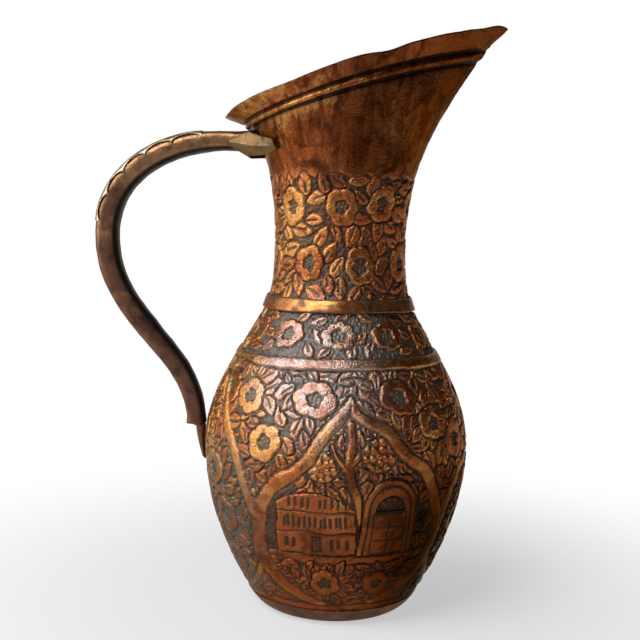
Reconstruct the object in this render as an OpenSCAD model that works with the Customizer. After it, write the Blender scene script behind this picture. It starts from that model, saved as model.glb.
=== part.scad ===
// Hand-raised copper water jug with a swept spout, a hollow strap handle and a dished base.
// Millimetres, +Z up. The origin is the centre of the base, the spout points along +X.

/* [Sheet and seams] */
// Thickness of the copper sheet of belly, neck and handle
sheet = 1.2; // [0.8:0.1:2]
// Thickness of the base plate
plate_t = 1.4; // [1:0.1:2.5]
// Gap left by the solder along a seam
seam_gap = 0.1; // [0.05:0.05:0.3]
// Gap under a piece that is seated on a curved wall
seat_gap = 0.2; // [0.1:0.05:0.4]

/* [Base and belly] */
// Radius of the flat that the jug stands on
foot_r = 32; // [28:0.5:36]
// Radius of the base plate's turned-up edge
lap_r = 44.6; // [42:0.2:49]
// Height of the base plate's turned-up edge
lap_z = 9; // [7:0.5:12]
// How far the belly is tucked into the base plate
tuck = 5; // [3:0.5:7]
// Greatest radius of the belly
belly_r = 68.5; // [62:0.5:76]
// Height of the greatest radius
belly_z = 85; // [74:1:92]
// Outward pull of the belly's curve just above the base
low_out = 10.2; // [8:0.2:13]
// Upward pull of the belly's curve just above the base
low_up = 15.9; // [12:0.2:20]
// Fullness of the belly below its greatest radius
low_full = 31; // [24:1:38]
// Fullness of the belly above its greatest radius
up_full = 31; // [22:1:36]

/* [Shoulder and collar] */
// Height of the neck seam above the greatest radius
shoulder_h = 73.5; // [68:0.5:80]
// Radius of the neck seam
joint_r = 37.6; // [36:0.1:40]
// Outward pull of the shoulder's curve below the seam
up_out = 6.4; // [5:0.2:8]
// Drop of the shoulder's curve below the seam
up_drop = 17.5; // [14:0.5:20]
// Height of the raised shoulder band above the greatest radius
band_h = 47; // [42:0.5:52]
// Width of the raised shoulder band
band_w = 7.6; // [5:0.2:10]
// How far the shoulder band stands proud
band_proud = 1; // [0.5:0.1:1.6]
// Width of the collar strip over the neck seam
collar_w = 7.8; // [6:0.2:10]
// Thickness of the collar strip
collar_t = 0.9; // [0.8:0.1:1.6]
// Width of the open line where the collar strip's ends meet
collar_slit = 0.4; // [0.2:0.1:0.8]
// Slant of that line
collar_slant = 24; // [0:1:35]
// Place of that line round the neck, from the spout
collar_turn = -72; // [-170:1:170]

/* [Chased relief] */
// Depth of the sunk ground between the raised forms
ground_deep = 0.6; // [0.3:0.05:0.8]
// Height where the belly's chased field starts
field_low = 13; // [12:0.5:16]
// Height of the plain strip below the neck seam
field_stop = 6; // [5:0.5:8]
// Width of the branches that frame the pictures
bough_w = 9; // [7:0.2:11]
// Size of the flowers on the belly
belly_flower = 20; // [16:0.5:22]
// Height of the frieze of flowers above the greatest radius
frieze_h = 60.4; // [58:0.2:62]
// Size of the flowers in the frieze
frieze_flower = 14.8; // [12:0.2:16]
// Number of flowers in the frieze
frieze_count = 11; // [8:1:12]
// Place of the first picture, from the front
frame_turn = 8; // [-45:1:45]
// Height of the lower row of flowers on the neck, above the seam
lower_row_h = 20; // [17:0.5:23]
// Height of the upper row of flowers on the neck, above the seam
upper_row_h = 48.4; // [46:0.2:52]
// Number of flowers in the lower row
lower_row_count = 8; // [6:1:10]
// Number of flowers in the upper row
upper_row_count = 9; // [6:1:10]
// Size of the flowers on the neck
neck_flower = 18.4; // [15:0.2:20]
// Height of the neck's chased field above the seam
neck_field_h = 62; // [60:0.5:66]

/* [Neck] */
// Height of the waist above the neck seam
waist_h = 31.5; // [27:0.5:36]
// Radius of the waist
waist_r = 34.1; // [32:0.1:36]
// Upright pull of the neck's curve above the waist, at the spout
front_rise = 33; // [26:1:38]
// Upright pull of the neck's curve above the waist, at the back
back_rise = 22; // [18:1:26]
// Lean of the neck into the spout, along X
front_lean = 21.3; // [17:0.5:25]
// Lean of the neck into the spout, in height
front_drop = 31.2; // [26:0.5:36]
// Lean of the neck into the back of the rim, along X
back_lean = 8; // [6:0.2:10]
// Lean of the neck into the back of the rim, in height
back_drop = 16.2; // [13:0.2:19]

/* [Rim and spout] */
// Height of the rib's foot above the waist, at the back
rib_back_h = 54.2; // [50:0.2:58]
// Height of the rib's foot above the waist, at the spout
rib_front_h = 89.2; // [84:0.2:94]
// Reach of the rib's foot past the waist, at the back
back_reach = 11.4; // [10:0.2:13]
// Reach of the rib's foot past the waist, at the spout
spout_reach = 33.2; // [28:0.2:38]
// Reach of the rib's foot past the waist, at the sides
side_reach = 7.4; // [5:0.2:10]
// Rise of the rib at the back
rib_back_rise = 2.6; // [2:0.2:4]
// Rise of the rib at the spout
rib_front_rise = 9; // [7:0.2:11]
// Outward run of the rib at the back
rib_back_out = 6; // [5:0.2:7]
// Outward run of the rib at the spout
rib_front_out = 6.4; // [6:0.1:9]
// Outward run of the rib at the sides
rib_side_out = 2.2; // [1.4:0.2:3]
// Rise of the flange at the back
flange_back_rise = 4.2; // [2.5:0.1:5]
// Rise of the flange at the spout
flange_front_rise = 11.6; // [8:0.2:12]
// Outward run of the flange at the back
flange_back_out = 9; // [7:0.2:11]
// Outward run of the flange at the spout
flange_front_out = 9.2; // [7:0.2:11]
// Outward run of the flange at the sides
flange_side_out = 3.8; // [2.6:0.2:5]
// How far the rib stands proud of its two grooves
rib_proud = 2; // [1.2:0.1:2.6]
// Depth of the two grooves in the wall
groove_deep = 0.8; // [0.4:0.1:1.1]
// Rise of the rim's middle above the line from back to spout
rim_arch = 3.8; // [2:0.2:6]
// Sharpness of the spout, from 0 round to 1 pointed
spout_sharp = 0.7; // [0.4:0.05:0.8]

/* [Handle] */
// Place of the handle's upper end on the neck, as a share of the neck's flare
seat_share = 0.878; // [0.86:0.005:0.9]
// Reach of the handle past the belly
grip_reach = 52; // [46:0.2:60]
// Drop from the handle's upper end to its farthest point
bend_drop = 47.5; // [42:0.5:54]
// Level run of the handle's upper curve
top_run = 40; // [34:0.5:46]
// Lift of the handle's upper curve
top_lift = 6.5; // [4:0.5:8]
// Fullness of the bend upwards
bend_up = 35; // [30:0.5:40]
// Fullness of the bend downwards
bend_down = 46; // [40:0.5:52]
// Height of the handle's lower end above the greatest radius
end_h = 8; // [4:0.5:12]
// Upright run of the handle's lower curve
end_run = 40; // [34:0.5:46]
// Thickness of the handle at the neck, seen from the side
seat_t = 10.4; // [9:0.1:11.4]
// Thickness of the handle at the bend, seen from the side
grip_t = 12.4; // [11:0.1:14]
// Thickness of the handle at its lower end, seen from the side
end_t = 10.2; // [9:0.1:11]
// Width of the handle at the neck
grip_w = 16; // [14:0.2:19]
// Width of the handle at its lower end
end_w = 12; // [10:0.2:14]
// Squareness of the handle's section, from 1 round to lower, squarer values
grip_square = 0.62; // [0.5:0.02:0.8]

/* [Handle trim] */
// Place along the handle where the spine strip starts, from 0 at the neck to 1 at the end
spine_from_share = 0.12; // [0.1:0.01:0.2]
// Place along the handle where the spine strip ends
spine_to_share = 0.47; // [0.36:0.01:0.56]
// Number of scallops along each edge of the spine strip
scallops = 5; // [3:1:8]
// How far the spine strip wraps round the handle's section at the crest of a scallop
spine_wrap = 40; // [26:1:54]
// How far the points between two scallops wrap round the handle's section
point_wrap = 82; // [66:1:86]
// Thickness of the spine strip
spine_t = 0.6; // [0.4:0.1:1]
// Length of a clasp leaf along the handle's side
leaf_back = 15; // [11:0.5:18]
// Place of a clasp leaf's tip round the neck, from the back
leaf_turn = 35; // [30:1:42]
// Place of a clasp leaf's tip in height, as a share of the neck's flare
leaf_tip_share = 0.8; // [0.74:0.01:0.86]
// Half width of a clasp leaf
leaf_half = 6.2; // [4.8:0.1:6.6]
// Thickness of a clasp leaf at its edge
leaf_t = 1.1; // [0.8:0.1:1.6]
// Height of a clasp leaf's ridge above its edges
leaf_ridge = 1.6; // [0.8:0.1:2.2]
// Length of the tongue below the handle's end
tongue_len = 19; // [14:0.5:24]
// Length of the tongue inside the handle
tongue_in = 6; // [4:0.5:9]
// Thickness of the tongue at the handle's end
tongue_t = 5.4; // [3.6:0.1:6]
// Thickness of the tongue at its tip
tongue_tip_t = 1.2; // [0.8:0.1:2]
// Width of the tongue at its tip
tongue_tip_w = 6; // [4:0.2:8]

/* [Hidden] */

$fn = 96;
ring_sides = 60;
tube_sides = 20;
tube_rings = 34;
spine_rings = 40;
leaf_rings = 12;
tongue_rings = 9;
curve_steps = 18;
tuck_rows = 4;
collar_rows = 6;
wrap_step = 0.125;
small_turn = 1;
small_step = 0.01;
small_rise = 1;

copper = "#9a5a2c";
bright_copper = "#b5733a";
dark_copper = "#6e3f22";
pale_solder = "#b9a98c";

joint_z = belly_z + shoulder_h;
waist_z = joint_z + waist_h;
band_z = belly_z + band_h;

function lerp(a, b, t) = a + (b - a) * t;
function unit(p) = p / norm(p);
function bez(p, t) = pow(1 - t, 3) * p[0] + 3 * t * pow(1 - t, 2) * p[1]
    + 3 * t * t * (1 - t) * p[2] + t * t * t * p[3];
function steps(n) = [for (i = [0 : n]) i / n];
function signed_power(v, e) = sign(v) * pow(abs(v), e);

// A point of a flat curve, moved square to it. The curve runs upwards with its hollow on the left.
function beside(curve, t, d) =
    let (a = max(t - small_step, 0), b = min(t + small_step, 1), run = unit(bez(curve, b) - bez(curve, a)))
    bez(curve, t) + d * [-run[1], run[0]];

// Triangles between neighbouring rings of points, and a fan over each open end.
module skin(rings, closed = false) {
    m = len(rings);
    n = len(rings[0]);
    rows = closed ? m : m - 1;
    sides = [
        for (i = [0 : rows - 1], j = [0 : n - 1])
            let (k = (i + 1) % m, q = (j + 1) % n)
            each [[i * n + j, k * n + q, i * n + q], [i * n + j, k * n + j, k * n + q]]
    ];
    hub = floor(3 * n / 4);
    spokes = [for (j = [0 : n - 3]) [(hub + 1 + j) % n, (hub + 2 + j) % n]];
    first = [for (e = spokes) [hub, e[0], e[1]]];
    last = [for (e = spokes) (m - 1) * n * [1, 1, 1] + [hub, e[1], e[0]]];
    polyhedron([for (r = rings) each r], closed ? sides : concat(sides, first, last), convexity = 10);
}

// Base plate: a flat disc whose edge is dished up round the belly.
dish_flat = 0.42;
dish_turn = 0.74;
dish_lift = 0.42;
dish = [
    [foot_r, 0],
    [lerp(foot_r, lap_r, dish_flat), 0],
    [lerp(foot_r, lap_r, dish_turn), lap_z * dish_lift],
    [lap_r, lap_z]
];
dish_end = unit(dish[3] - dish[2]);
dish_in = [-dish_end[1], dish_end[0]];

module base_plate() {
    under = [for (t = steps(curve_steps)) beside(dish, t, 0)];
    over = [for (t = steps(curve_steps)) beside(dish, 1 - t, plate_t)];
    color(dark_copper)
        rotate_extrude()
            polygon(concat([[0, 0]], under, over, [[0, plate_t]]));
}

// Belly: one raised shell from the base plate's edge to the neck seam.
low_start = dish[3] + seam_gap * dish_end;
low_curve = [
    low_start,
    low_start + [low_out, low_up],
    [belly_r, belly_z - low_full],
    [belly_r, belly_z]
];
up_curve = [
    [belly_r, belly_z],
    [belly_r, belly_z + up_full],
    [joint_r + up_out, joint_z - up_drop],
    [joint_r, joint_z]
];
tuck_from = 1 - tuck / norm(dish[3] - dish[0]);
tuck_steps = [for (t = steps(tuck_rows)) lerp(tuck_from, 1, t)];
tuck_face = plate_t + seam_gap;

// The shoulder band swells out of the wall and dies away at its two edges.
band_round = 0.5;
function band_swell(z) = abs(z - band_z) < band_w / 2
    ? band_proud * pow(cos(180 * (z - band_z) / band_w), band_round) : 0;
band_steps = 3 * curve_steps;
up_stops = [
    for (i = [1 : band_steps])
        let (t = i / band_steps)
        if (i % 3 == 0 || abs(bez(up_curve, t)[1] - band_z) < band_w) t
];
function low_wall(d) = [for (t = steps(curve_steps)) beside(low_curve, t, d)];
function up_wall(d) = [for (t = up_stops) beside(up_curve, t, d - band_swell(bez(up_curve, t)[1]))];
belly_skin = concat(low_wall(0), up_wall(0));
function belly_at(z) = lookup(z, [for (p = belly_skin) [p[1], p[0]]]);

// The ground of the chased field lies lower than the wall, apart from the band.
field_high = joint_z - field_stop;
function sunk(z) = z > field_low && z < field_high && abs(z - band_z) > band_w / 2 ? ground_deep : 0;
function sunk_wall(curve, t) = let (z = bez(curve, t)[1]) beside(curve, t, sunk(z) - band_swell(z));
belly_ground = concat(
    [for (t = steps(curve_steps)) sunk_wall(low_curve, t)],
    [for (t = up_stops) sunk_wall(up_curve, t)]
);

// Raised forms are drawn flat, as seen square to a picture, and cut out of a layer that follows the wall.
// A place is a turn from the picture's middle and a share of the belly's height.
function wall_run(z) = unit([belly_at(z + small_rise) - belly_at(z - small_rise), 2 * small_rise]);
function seen_at(turn, z, side, rise) =
    let (run = wall_run(z), a = turn + side / belly_at(z) * 180 / PI)
    [(belly_at(z) + rise * run[0]) * sin(a), z + rise * run[1]];

petals = 6;
petal_dip = 0.84;
heart = 0.36;
petal_rim = 0.3;
module flower(turn, share, size) {
    z = share * joint_z;
    edge = [
        for (i = [0 : 2 * petals - 1])
            let (a = 180 * i / petals, r = size / 2 * (i % 2 == 0 ? 1 : petal_dip))
            seen_at(turn, z, r * cos(a), r * sin(a))
    ];
    middle = [
        for (i = [0 : petals - 1])
            let (a = 360 * i / petals, r = heart * size / 2)
            seen_at(turn, z, r * cos(a), r * sin(a))
    ];
    around = [for (i = [0 : 2 * petals - 1]) i];
    hole = [for (i = [0 : petals - 1]) 2 * petals + i];
    polygon(concat(edge, middle), [around, hole]);
}

// A branch along points that give a turn, a share of the belly's height and a share of the greatest width.
function bough_side(path, i, way) =
    let (a = path[max(i - 1, 0)], b = path[min(i + 1, len(path) - 1)], z = path[i][1] * joint_z,
         run = unit([(b[0] - a[0]) * PI / 180 * belly_at(z), (b[1] - a[1]) * joint_z / wall_run(z)[1]]),
         half = way * path[i][2] * bough_w / 2)
    seen_at(path[i][0], z, -run[1] * half, run[0] * half);
module bough(path) {
    last = len(path) - 1;
    polygon(concat(
        [for (i = [0 : last]) bough_side(path, i, -1)],
        [for (i = [last : -1 : 0]) bough_side(path, i, 1)]
    ));
}

left_bough = [[-1, 0.74, 0.3], [-5, 0.69, 0.6], [-15, 0.615, 0.65], [-20, 0.54, 0.67], [-33, 0.485, 0.75],
              [-40.5, 0.405, 0.85], [-44, 0.31, 0.95], [-45.5, 0.245, 1], [-41, 0.17, 0.8],
              [-26, 0.098, 0.6]];
right_bough = [[-1, 0.74, 0.3], [2, 0.69, 0.6], [14, 0.65, 0.65], [22, 0.57, 0.65], [32, 0.525, 0.68],
               [37.5, 0.455, 0.75], [45, 0.34, 0.9], [46, 0.24, 0.85], [40, 0.163, 0.7], [25, 0.095, 0.6]];
far_bough = [[14, 0.76, 0.3], [20, 0.7, 0.55], [27, 0.63, 0.6], [35, 0.565, 0.65], [40, 0.48, 0.7],
             [45, 0.39, 0.8]];
frame_flowers = [[-17.6, 0.736, 1.07], [-38.5, 0.6, 1], [21.8, 0.742, 1.02], [38.8, 0.66, 0.97]];

// Two pictures are a house beside a gate with flowers below, the other two a flowering tree.
house = [[-29, 0.262], [1, 0.262], [1, 0.46], [-7, 0.48], [-21, 0.48], [-29, 0.455]];
gate_turn = 16.2;
gate_half = 13.8;
gate_foot = 0.252;
gate_spring = 0.415;
gate_rise = 0.11;
gate = concat(
    [[gate_turn - gate_half, gate_foot], [gate_turn + gate_half, gate_foot]],
    [for (a = [0 : 30 : 180]) [gate_turn + gate_half * cos(a), gate_spring + gate_rise * sin(a)]]
);
low_flowers = [[-12, 0.161, 0.8], [15.5, 0.158, 0.77]];
tree_stem = [[0, 0.09, 1], [-1, 0.19, 0.85], [1.5, 0.29, 0.75], [-1, 0.38, 0.62], [0.5, 0.53, 0.45]];
tree_flowers = [[0, 0.587, 1.05], [-18, 0.473, 1], [17.5, 0.48, 1], [-26, 0.328, 1], [25, 0.34, 1],
                [-21, 0.189, 0.9], [21, 0.196, 0.9]];

module plate(corners) {
    polygon([for (c = corners) seen_at(c[0], c[1] * joint_z, 0, 0)]);
}

// A layer that follows the wall, from its outer face to a little below the sunk ground.
bite = 0.3;
relief_steps = 12;
module relief_layer() {
    deep = ground_deep + bite;
    outer = concat(
        [for (t = steps(relief_steps)) beside(low_curve, t, 0)],
        [for (t = steps(relief_steps)) if (t > 0) beside(up_curve, t, 0)]
    );
    inner = concat(
        [for (t = steps(relief_steps)) if (t > 0) beside(up_curve, 1 - t, deep)],
        [for (t = steps(relief_steps)) beside(low_curve, 1 - t, deep)]
    );
    rotate_extrude() polygon(concat(outer, inner));
}

// Pushes a drawing out from near the axis, towards the front, and keeps what lies in the layer.
module raised() {
    intersection() {
        relief_layer();
        translate([0, -foot_r / 2, 0]) rotate([90, 0, 0]) linear_extrude(belly_r) children();
    }
}

module branch(path) {
    last = len(path) - 1;
    half = floor(last / 2);
    raised() bough([for (i = [0 : half]) path[i]]);
    raised() bough([for (i = [half : last]) path[i]]);
}

module picture(k) {
    branch(left_bough);
    branch(k == 3 ? far_bough : right_bough);
    for (f = concat(frame_flowers, k % 2 == 0 ? low_flowers : tree_flowers))
        raised() flower(f[0], f[1], f[2] * belly_flower);
    if (k % 2 == 0) {
        raised() plate(house);
        raised() plate(gate);
    } else {
        branch(tree_stem);
    }
}

// Four pictures round the belly, and the frieze under the neck.
module raised_forms() {
    for (k = [0 : 3])
        rotate(frame_turn + 90 * k)
            picture(k);
    for (k = [0 : frieze_count - 1])
        rotate(360 * k / frieze_count)
            raised() flower(0, (belly_z + frieze_h) / joint_z, frieze_flower);
}

module belly() {
    tuck_out = [for (t = tuck_steps) beside(dish, t, tuck_face) + (t == 1 ? seam_gap * dish_end : [0, 0])];
    tuck_in = [for (t = tuck_steps) if (t < 1) beside(dish, t, tuck_face + sheet)];
    low_in = [for (p = low_wall(sheet)) if (p[1] > lap_z + tuck_face + sheet) p];
    inside = concat(tuck_in, low_in, up_wall(sheet));
    backwards = [for (i = [len(inside) - 1 : -1 : 0]) inside[i]];
    color(copper)
        union() {
            rotate_extrude() polygon(concat(tuck_out, belly_ground, backwards));
            raised_forms();
        }
}

// Neck: round at the seam, drawn out into a tilted rim with a pointed spout.
// Along v: 0 to 1 seam to waist, 1 to 2 flare, 2 to 3 rib, 3 to 4 flange.
neck_pull = 0.4;
neck_low = [
    [joint_r, joint_z + seam_gap],
    [joint_r - up_out * neck_pull, joint_z + up_drop * neck_pull],
    [waist_r, lerp(joint_z, waist_z, 0.5)],
    [waist_r, waist_z]
];
rib_front = [waist_r + spout_reach, waist_z + rib_front_h];
rib_back = [-waist_r - back_reach, waist_z + rib_back_h];
flange_front = rib_front + [rib_front_out, rib_front_rise];
flange_back = rib_back + [-rib_back_out, rib_back_rise];
tip = flange_front + [flange_front_out, flange_front_rise];
rim_back = flange_back + [-flange_back_out, flange_back_rise];
flare_front = [
    [waist_r, waist_z],
    [waist_r, waist_z + front_rise],
    rib_front - [front_lean, front_drop],
    rib_front
];
flare_back = [
    [-waist_r, waist_z],
    [-waist_r, waist_z + back_rise],
    rib_back - [-back_lean, back_drop],
    rib_back
];
rib_side = waist_r + side_reach;
flange_side = rib_side + rib_side_out;
rim_side = flange_side + flange_side_out;

function mirrored(p) = [-p[0], p[1]];
function front_of(v) = v <= 1 ? bez(neck_low, v) : v <= 2 ? bez(flare_front, v - 1)
    : v <= 3 ? lerp(rib_front, flange_front, v - 2) : lerp(flange_front, tip, v - 3);
function back_of(v) = v <= 1 ? mirrored(bez(neck_low, v)) : v <= 2 ? bez(flare_back, v - 1)
    : v <= 3 ? lerp(rib_back, flange_back, v - 2) : lerp(flange_back, rim_back, v - 3);
function side_of(v) = v <= 1 ? bez(neck_low, v)[0] : v <= 2 ? waist_r + side_reach * pow(v - 1, 2)
    : v <= 3 ? lerp(rib_side, flange_side, v - 2) : lerp(flange_side, rim_side, v - 3);
function flare_share(v) = v <= 1 ? 0 : (v - 1) / 3;
circle_power = 0.5;
point_onset = 1.6;
function point_power(v) = circle_power * (1 + spout_sharp * pow(min(flare_share(v) * 3, 1), point_onset));

// Half width of a ring at u, from -1 at the back to 1 at the spout, for a greatest half width of 1.
function plan(u, e) =
    let (widest = (circle_power - e) / (circle_power + e))
    pow(max(1 - u, 0), e) * pow(max(1 + u, 0), circle_power)
        / (pow(1 - widest, e) * pow(1 + widest, circle_power));
function neck_base(turn, v) =
    let (f = front_of(v), b = back_of(v), u = cos(turn), mid = (f + b) / 2, half = (f - b) / 2)
    [mid[0] + half[0] * u,
     sign(sin(turn)) * side_of(v) * plan(u, point_power(v)),
     mid[1] + half[1] * u + rim_arch * flare_share(v) * (1 - u * u)];
function neck_out(turn, v) =
    let (a = max(v - small_step, 0), b = min(v + small_step, 4))
    unit(cross(neck_base(turn + small_turn, v) - neck_base(turn - small_turn, v),
               neck_base(turn, b) - neck_base(turn, a)));

// A narrow rib between two grooves, measured square to the wall. It dies away at the point of the spout.
groove_half = 0.08;
low_groove = 2.16;
rib_mid = 2.52;
high_groove = 2.86;
groove_spread = 0.15;
rib_spread = 0.24;
spout_fade = 0.8;
fade_power = 12;
function hump(v, middle, spread, power) = exp(-pow(abs(v - middle) / spread, power));
function rib_swell(turn, v) =
    let (grooves = hump(v, low_groove, groove_spread, 2) + hump(v, high_groove, groove_spread, 2),
         rib = hump(v, rib_mid, rib_spread, 4),
         fade = 1 - spout_fade * pow(max(cos(turn), 0), fade_power))
    fade * ((rib_proud - groove_deep) * rib - groove_deep * grooves);
low_rows = 9;
flare_rows = 13;
rib_rows = 6;
flange_rows = 3;
neck_stops = concat(
    steps(low_rows),
    [for (t = steps(flare_rows)) if (t > 0 && t < 1) 1 + t],
    [2 - groove_half],
    [for (t = steps(rib_rows)) 2 + t],
    [3 + groove_half],
    [for (t = steps(flange_rows)) if (t > 0) 3 + t]
);

// Two rows of flowers stand on a sunk ground: each swells round a low heart.
neck_front = 90;
row_turn = [17.5, -4];
heart_floor = 0.3;
collar_clear = 0.6;
rim_from = 1.9;
function flower_swell(side, rise) =
    let (d = norm([side, rise]) * 2 / neck_flower)
    d > 1 ? 0 : min(1, (1 - d) / petal_rim) * min(1, heart_floor + d / heart);
function row_swell(phi, z, first, count, row_z) =
    let (step = 360 / count, near = phi - first - step * round((phi - first) / step))
    flower_swell(near * PI / 180 * waist_r, z - row_z);
function neck_sunk(turn, z) = z < joint_z + collar_w * collar_clear || z > joint_z + neck_field_h ? 0
    : ground_deep * (1 - max(
        row_swell(turn + neck_front, z, row_turn[0], lower_row_count, joint_z + lower_row_h),
        row_swell(turn + neck_front, z, row_turn[1], upper_row_count, joint_z + upper_row_h)));
function neck_ring(v, d) = [
    for (i = [0 : ring_sides - 1])
        let (turn = 360 * i / ring_sides)
        neck_base(turn, v) + (d + rib_swell(turn, v)) * neck_out(turn, v)
];
function chased_ring(v) = [
    for (i = [0 : ring_sides - 1])
        let (turn = 360 * i / ring_sides, p = neck_base(turn, v))
        p + (rib_swell(turn, v) - neck_sunk(turn, p[2])) * neck_out(turn, v)
];

module neck() {
    last = len(neck_stops) - 1;
    outside = [for (v = neck_stops) chased_ring(v)];
    inside = [
        for (i = [last : -1 : 0])
            if (i % 2 == last % 2 || i == 0 || neck_stops[i] > rim_from) neck_ring(neck_stops[i], -sheet)
    ];
    color(copper)
        skin(concat(outside, inside), closed = true);
}

// Collar: a strip bent round the neck seam, its two ends meeting on a slanted line.
seam_wall = concat(
    [for (t = steps(curve_steps)) bez(up_curve, t)],
    [for (t = steps(curve_steps)) bez(neck_low, t)]
);
function seam_at(z) = lookup(z, [for (p = seam_wall) [p[1], p[0]]]);

collar_edge = 0.55;
module neck_collar() {
    heights = [for (t = steps(collar_rows)) joint_z + collar_w * (t - 0.5)];
    face = [for (z = heights) [seam_at(z) + seam_gap, z]];
    crown = [
        for (i = [collar_rows : -1 : 0])
            let (thick = collar_t * (i == 0 || i == collar_rows ? collar_edge : 1))
            [seam_at(heights[i]) + seam_gap + thick, heights[i]]
    ];
    color(bright_copper)
        difference() {
            rotate_extrude() polygon(concat(face, crown));
            rotate(collar_turn)
                translate([joint_r, 0, joint_z])
                    rotate([collar_slant, 0, 0])
                        cube([joint_r / 2, collar_slit, collar_w * 3], center = true);
        }
}

// Handle: a flattened tube on two curves that meet at the farthest point of the bend.
seat_at = neck_base(180, 1 + seat_share);
seat_out = neck_out(180, 1 + seat_share);
seat_face = [seat_out[0], seat_out[2]];
end_gap = 2 * seat_gap;
grip_start = [seat_at[0], seat_at[2]] + end_gap * seat_face;
bend = [-belly_r - grip_reach, grip_start[1] - bend_drop];
end_z = belly_z + end_h;
grip_end = [-belly_at(end_z) - seat_gap - end_t / 2, end_z];
upper_grip = [
    grip_start,
    grip_start + [-top_run, top_lift],
    bend + [0, bend_up],
    bend
];
lower_grip = [
    bend,
    bend - [0, bend_down],
    grip_end + [0, end_run],
    grip_end
];
function grip_at(s) = s <= 0.5 ? bez(upper_grip, 2 * s) : bez(lower_grip, 2 * s - 1);
function grip_run(s) = unit(grip_at(min(s + small_step, 1)) - grip_at(max(s - small_step, 0)));
// Square to the handle in its own plane, on the side away from the body.
function grip_side(s) = let (r = grip_run(s)) [r[1], -r[0]];
function half_t(s) = lerp(s < 0.5 ? seat_t : end_t, grip_t, sin(180 * s)) / 2;
function half_w(s) = lerp(grip_w, end_w, s) / 2;
function upright(p, y) = [p[0], y, p[1]];

// A point on the handle's section, moved out by a given distance.
function grip_skin(s, turn, off) = upright(
    grip_at(s) + (half_t(s) + off) * signed_power(cos(turn), grip_square) * grip_side(s),
    (half_w(s) + off) * signed_power(sin(turn), grip_square));

// The upper end is cut to the slope of the neck that it stands on.
function end_cut(s, across) = s == 0 ? -across * (seat_face * grip_side(0)) / (seat_face * grip_run(0)) : 0;
function tube_ring(s, wall) = [
    for (i = [0 : tube_sides - 1])
        let (turn = 360 * i / tube_sides,
             along = end_cut(s, (half_t(s) - wall) * signed_power(cos(turn), grip_square)))
        grip_skin(s, turn, -wall) + along * upright(grip_run(s), 0)
];

module handle_tube() {
    outside = [for (s = steps(tube_rings)) tube_ring(s, 0)];
    inside = [for (s = steps(tube_rings)) tube_ring(1 - s, sheet)];
    color(copper)
        skin(concat(outside, inside), closed = true);
}

// Spine strip: a saddle soldered along the outer side of the handle, its edges cut in scallops.
scallop_round = 0.6;
function spine_turn(t) = lerp(point_wrap, spine_wrap, pow(abs(sin(180 * scallops * t)), scallop_round));
function spine_ring(t) =
    let (s = lerp(spine_from_share, spine_to_share, t), reach = spine_turn(t))
    concat(
        [for (k = [1 : -wrap_step : -1]) grip_skin(s, k * reach, seat_gap)],
        [for (k = [-1 : wrap_step : 1]) grip_skin(s, k * reach, seat_gap + spine_t)]
    );

module handle_spine() {
    color(pale_solder)
        skin([for (t = steps(spine_rings)) spine_ring(t)]);
}

// Clasp leaves: two ridged leaves that hold the handle's end to the neck, one on each side.
leaf_root_pull = 0.7;
leaf_tip_pull = 0.6;
leaf_widest = 0.36;
leaf_root_wide = 0.2;
leaf_tip_wide = 0.42;
leaf_lift = seat_gap + leaf_t / 2;
leaf_tip_turn = 180 + leaf_turn;
leaf_tip_out = neck_out(leaf_tip_turn, 1 + leaf_tip_share);
leaf_tip = neck_base(leaf_tip_turn, 1 + leaf_tip_share) + leaf_lift * leaf_tip_out;
leaf_tip_run = unit(neck_base(leaf_tip_turn + small_turn, 1 + leaf_tip_share)
    - neck_base(leaf_tip_turn - small_turn, 1 + leaf_tip_share));
leaf_root = upright(grip_start - [leaf_back, 0], -grip_w / 2 - leaf_lift);
leaf_curve = [
    leaf_root,
    leaf_root + [leaf_back * leaf_root_pull, 0, 0],
    leaf_tip - leaf_tip_run * leaf_back * leaf_tip_pull,
    leaf_tip
];
function leaf_run(t) =
    unit(bez(leaf_curve, min(t + small_step, 1)) - bez(leaf_curve, max(t - small_step, 0)));
function leaf_width(t) = leaf_half * (t < leaf_widest ? lerp(leaf_root_wide, 1, t / leaf_widest)
    : lerp(1, leaf_tip_wide, (t - leaf_widest) / (1 - leaf_widest)));
function leaf_ring(t) =
    let (run = leaf_run(t), lean = lerp(unit(cross(run, [0, 0, 1])), leaf_tip_out, t),
         up = unit(cross(lean, run)), out = cross(run, up),
         w = leaf_width(t), rise = leaf_ridge * w / leaf_half)
    [for (corner = [[-1, -0.5], [0, -0.5], [1, -0.5], [1, 0.5], [0, 0.5 + rise / leaf_t], [-1, 0.5]])
        bez(leaf_curve, t) + corner[0] * w * up + corner[1] * leaf_t * out];

module clasp_leaf() {
    color(bright_copper)
        skin([for (t = steps(leaf_rings)) leaf_ring(t)]);
}

module clasp_leaf_near() {
    clasp_leaf();
}

module clasp_leaf_far() {
    mirror([0, 1, 0]) clasp_leaf();
}

// Tongue: a tab out of the handle's lower end, thinned down on to the belly.
tongue_w = end_w - 2 * sheet - 2 * seat_gap;
end_speed = 6 * end_run;
tongue_top = 1 - tongue_in / end_speed;
joggle = sheet + seat_gap;
tongue_stops = [for (t = steps(tongue_rings)) end_z - joggle - t * (tongue_len - joggle)];
function tongue_ring(z) =
    let (share = (end_z - z) / tongue_len, thick = lerp(tongue_t, tongue_tip_t, share),
         w = lerp(tongue_w, tongue_tip_w, pow(share, 2)) / 2)
    [for (i = [0 : tube_sides - 1])
        let (turn = 360 * i / tube_sides, y = w * signed_power(sin(turn), grip_square),
             off = thick * (1 + signed_power(cos(turn), grip_square)) / 2,
             wall = sqrt(pow(belly_at(z) + seat_gap, 2) - y * y))
        [-wall - off, y, z]];

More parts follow.
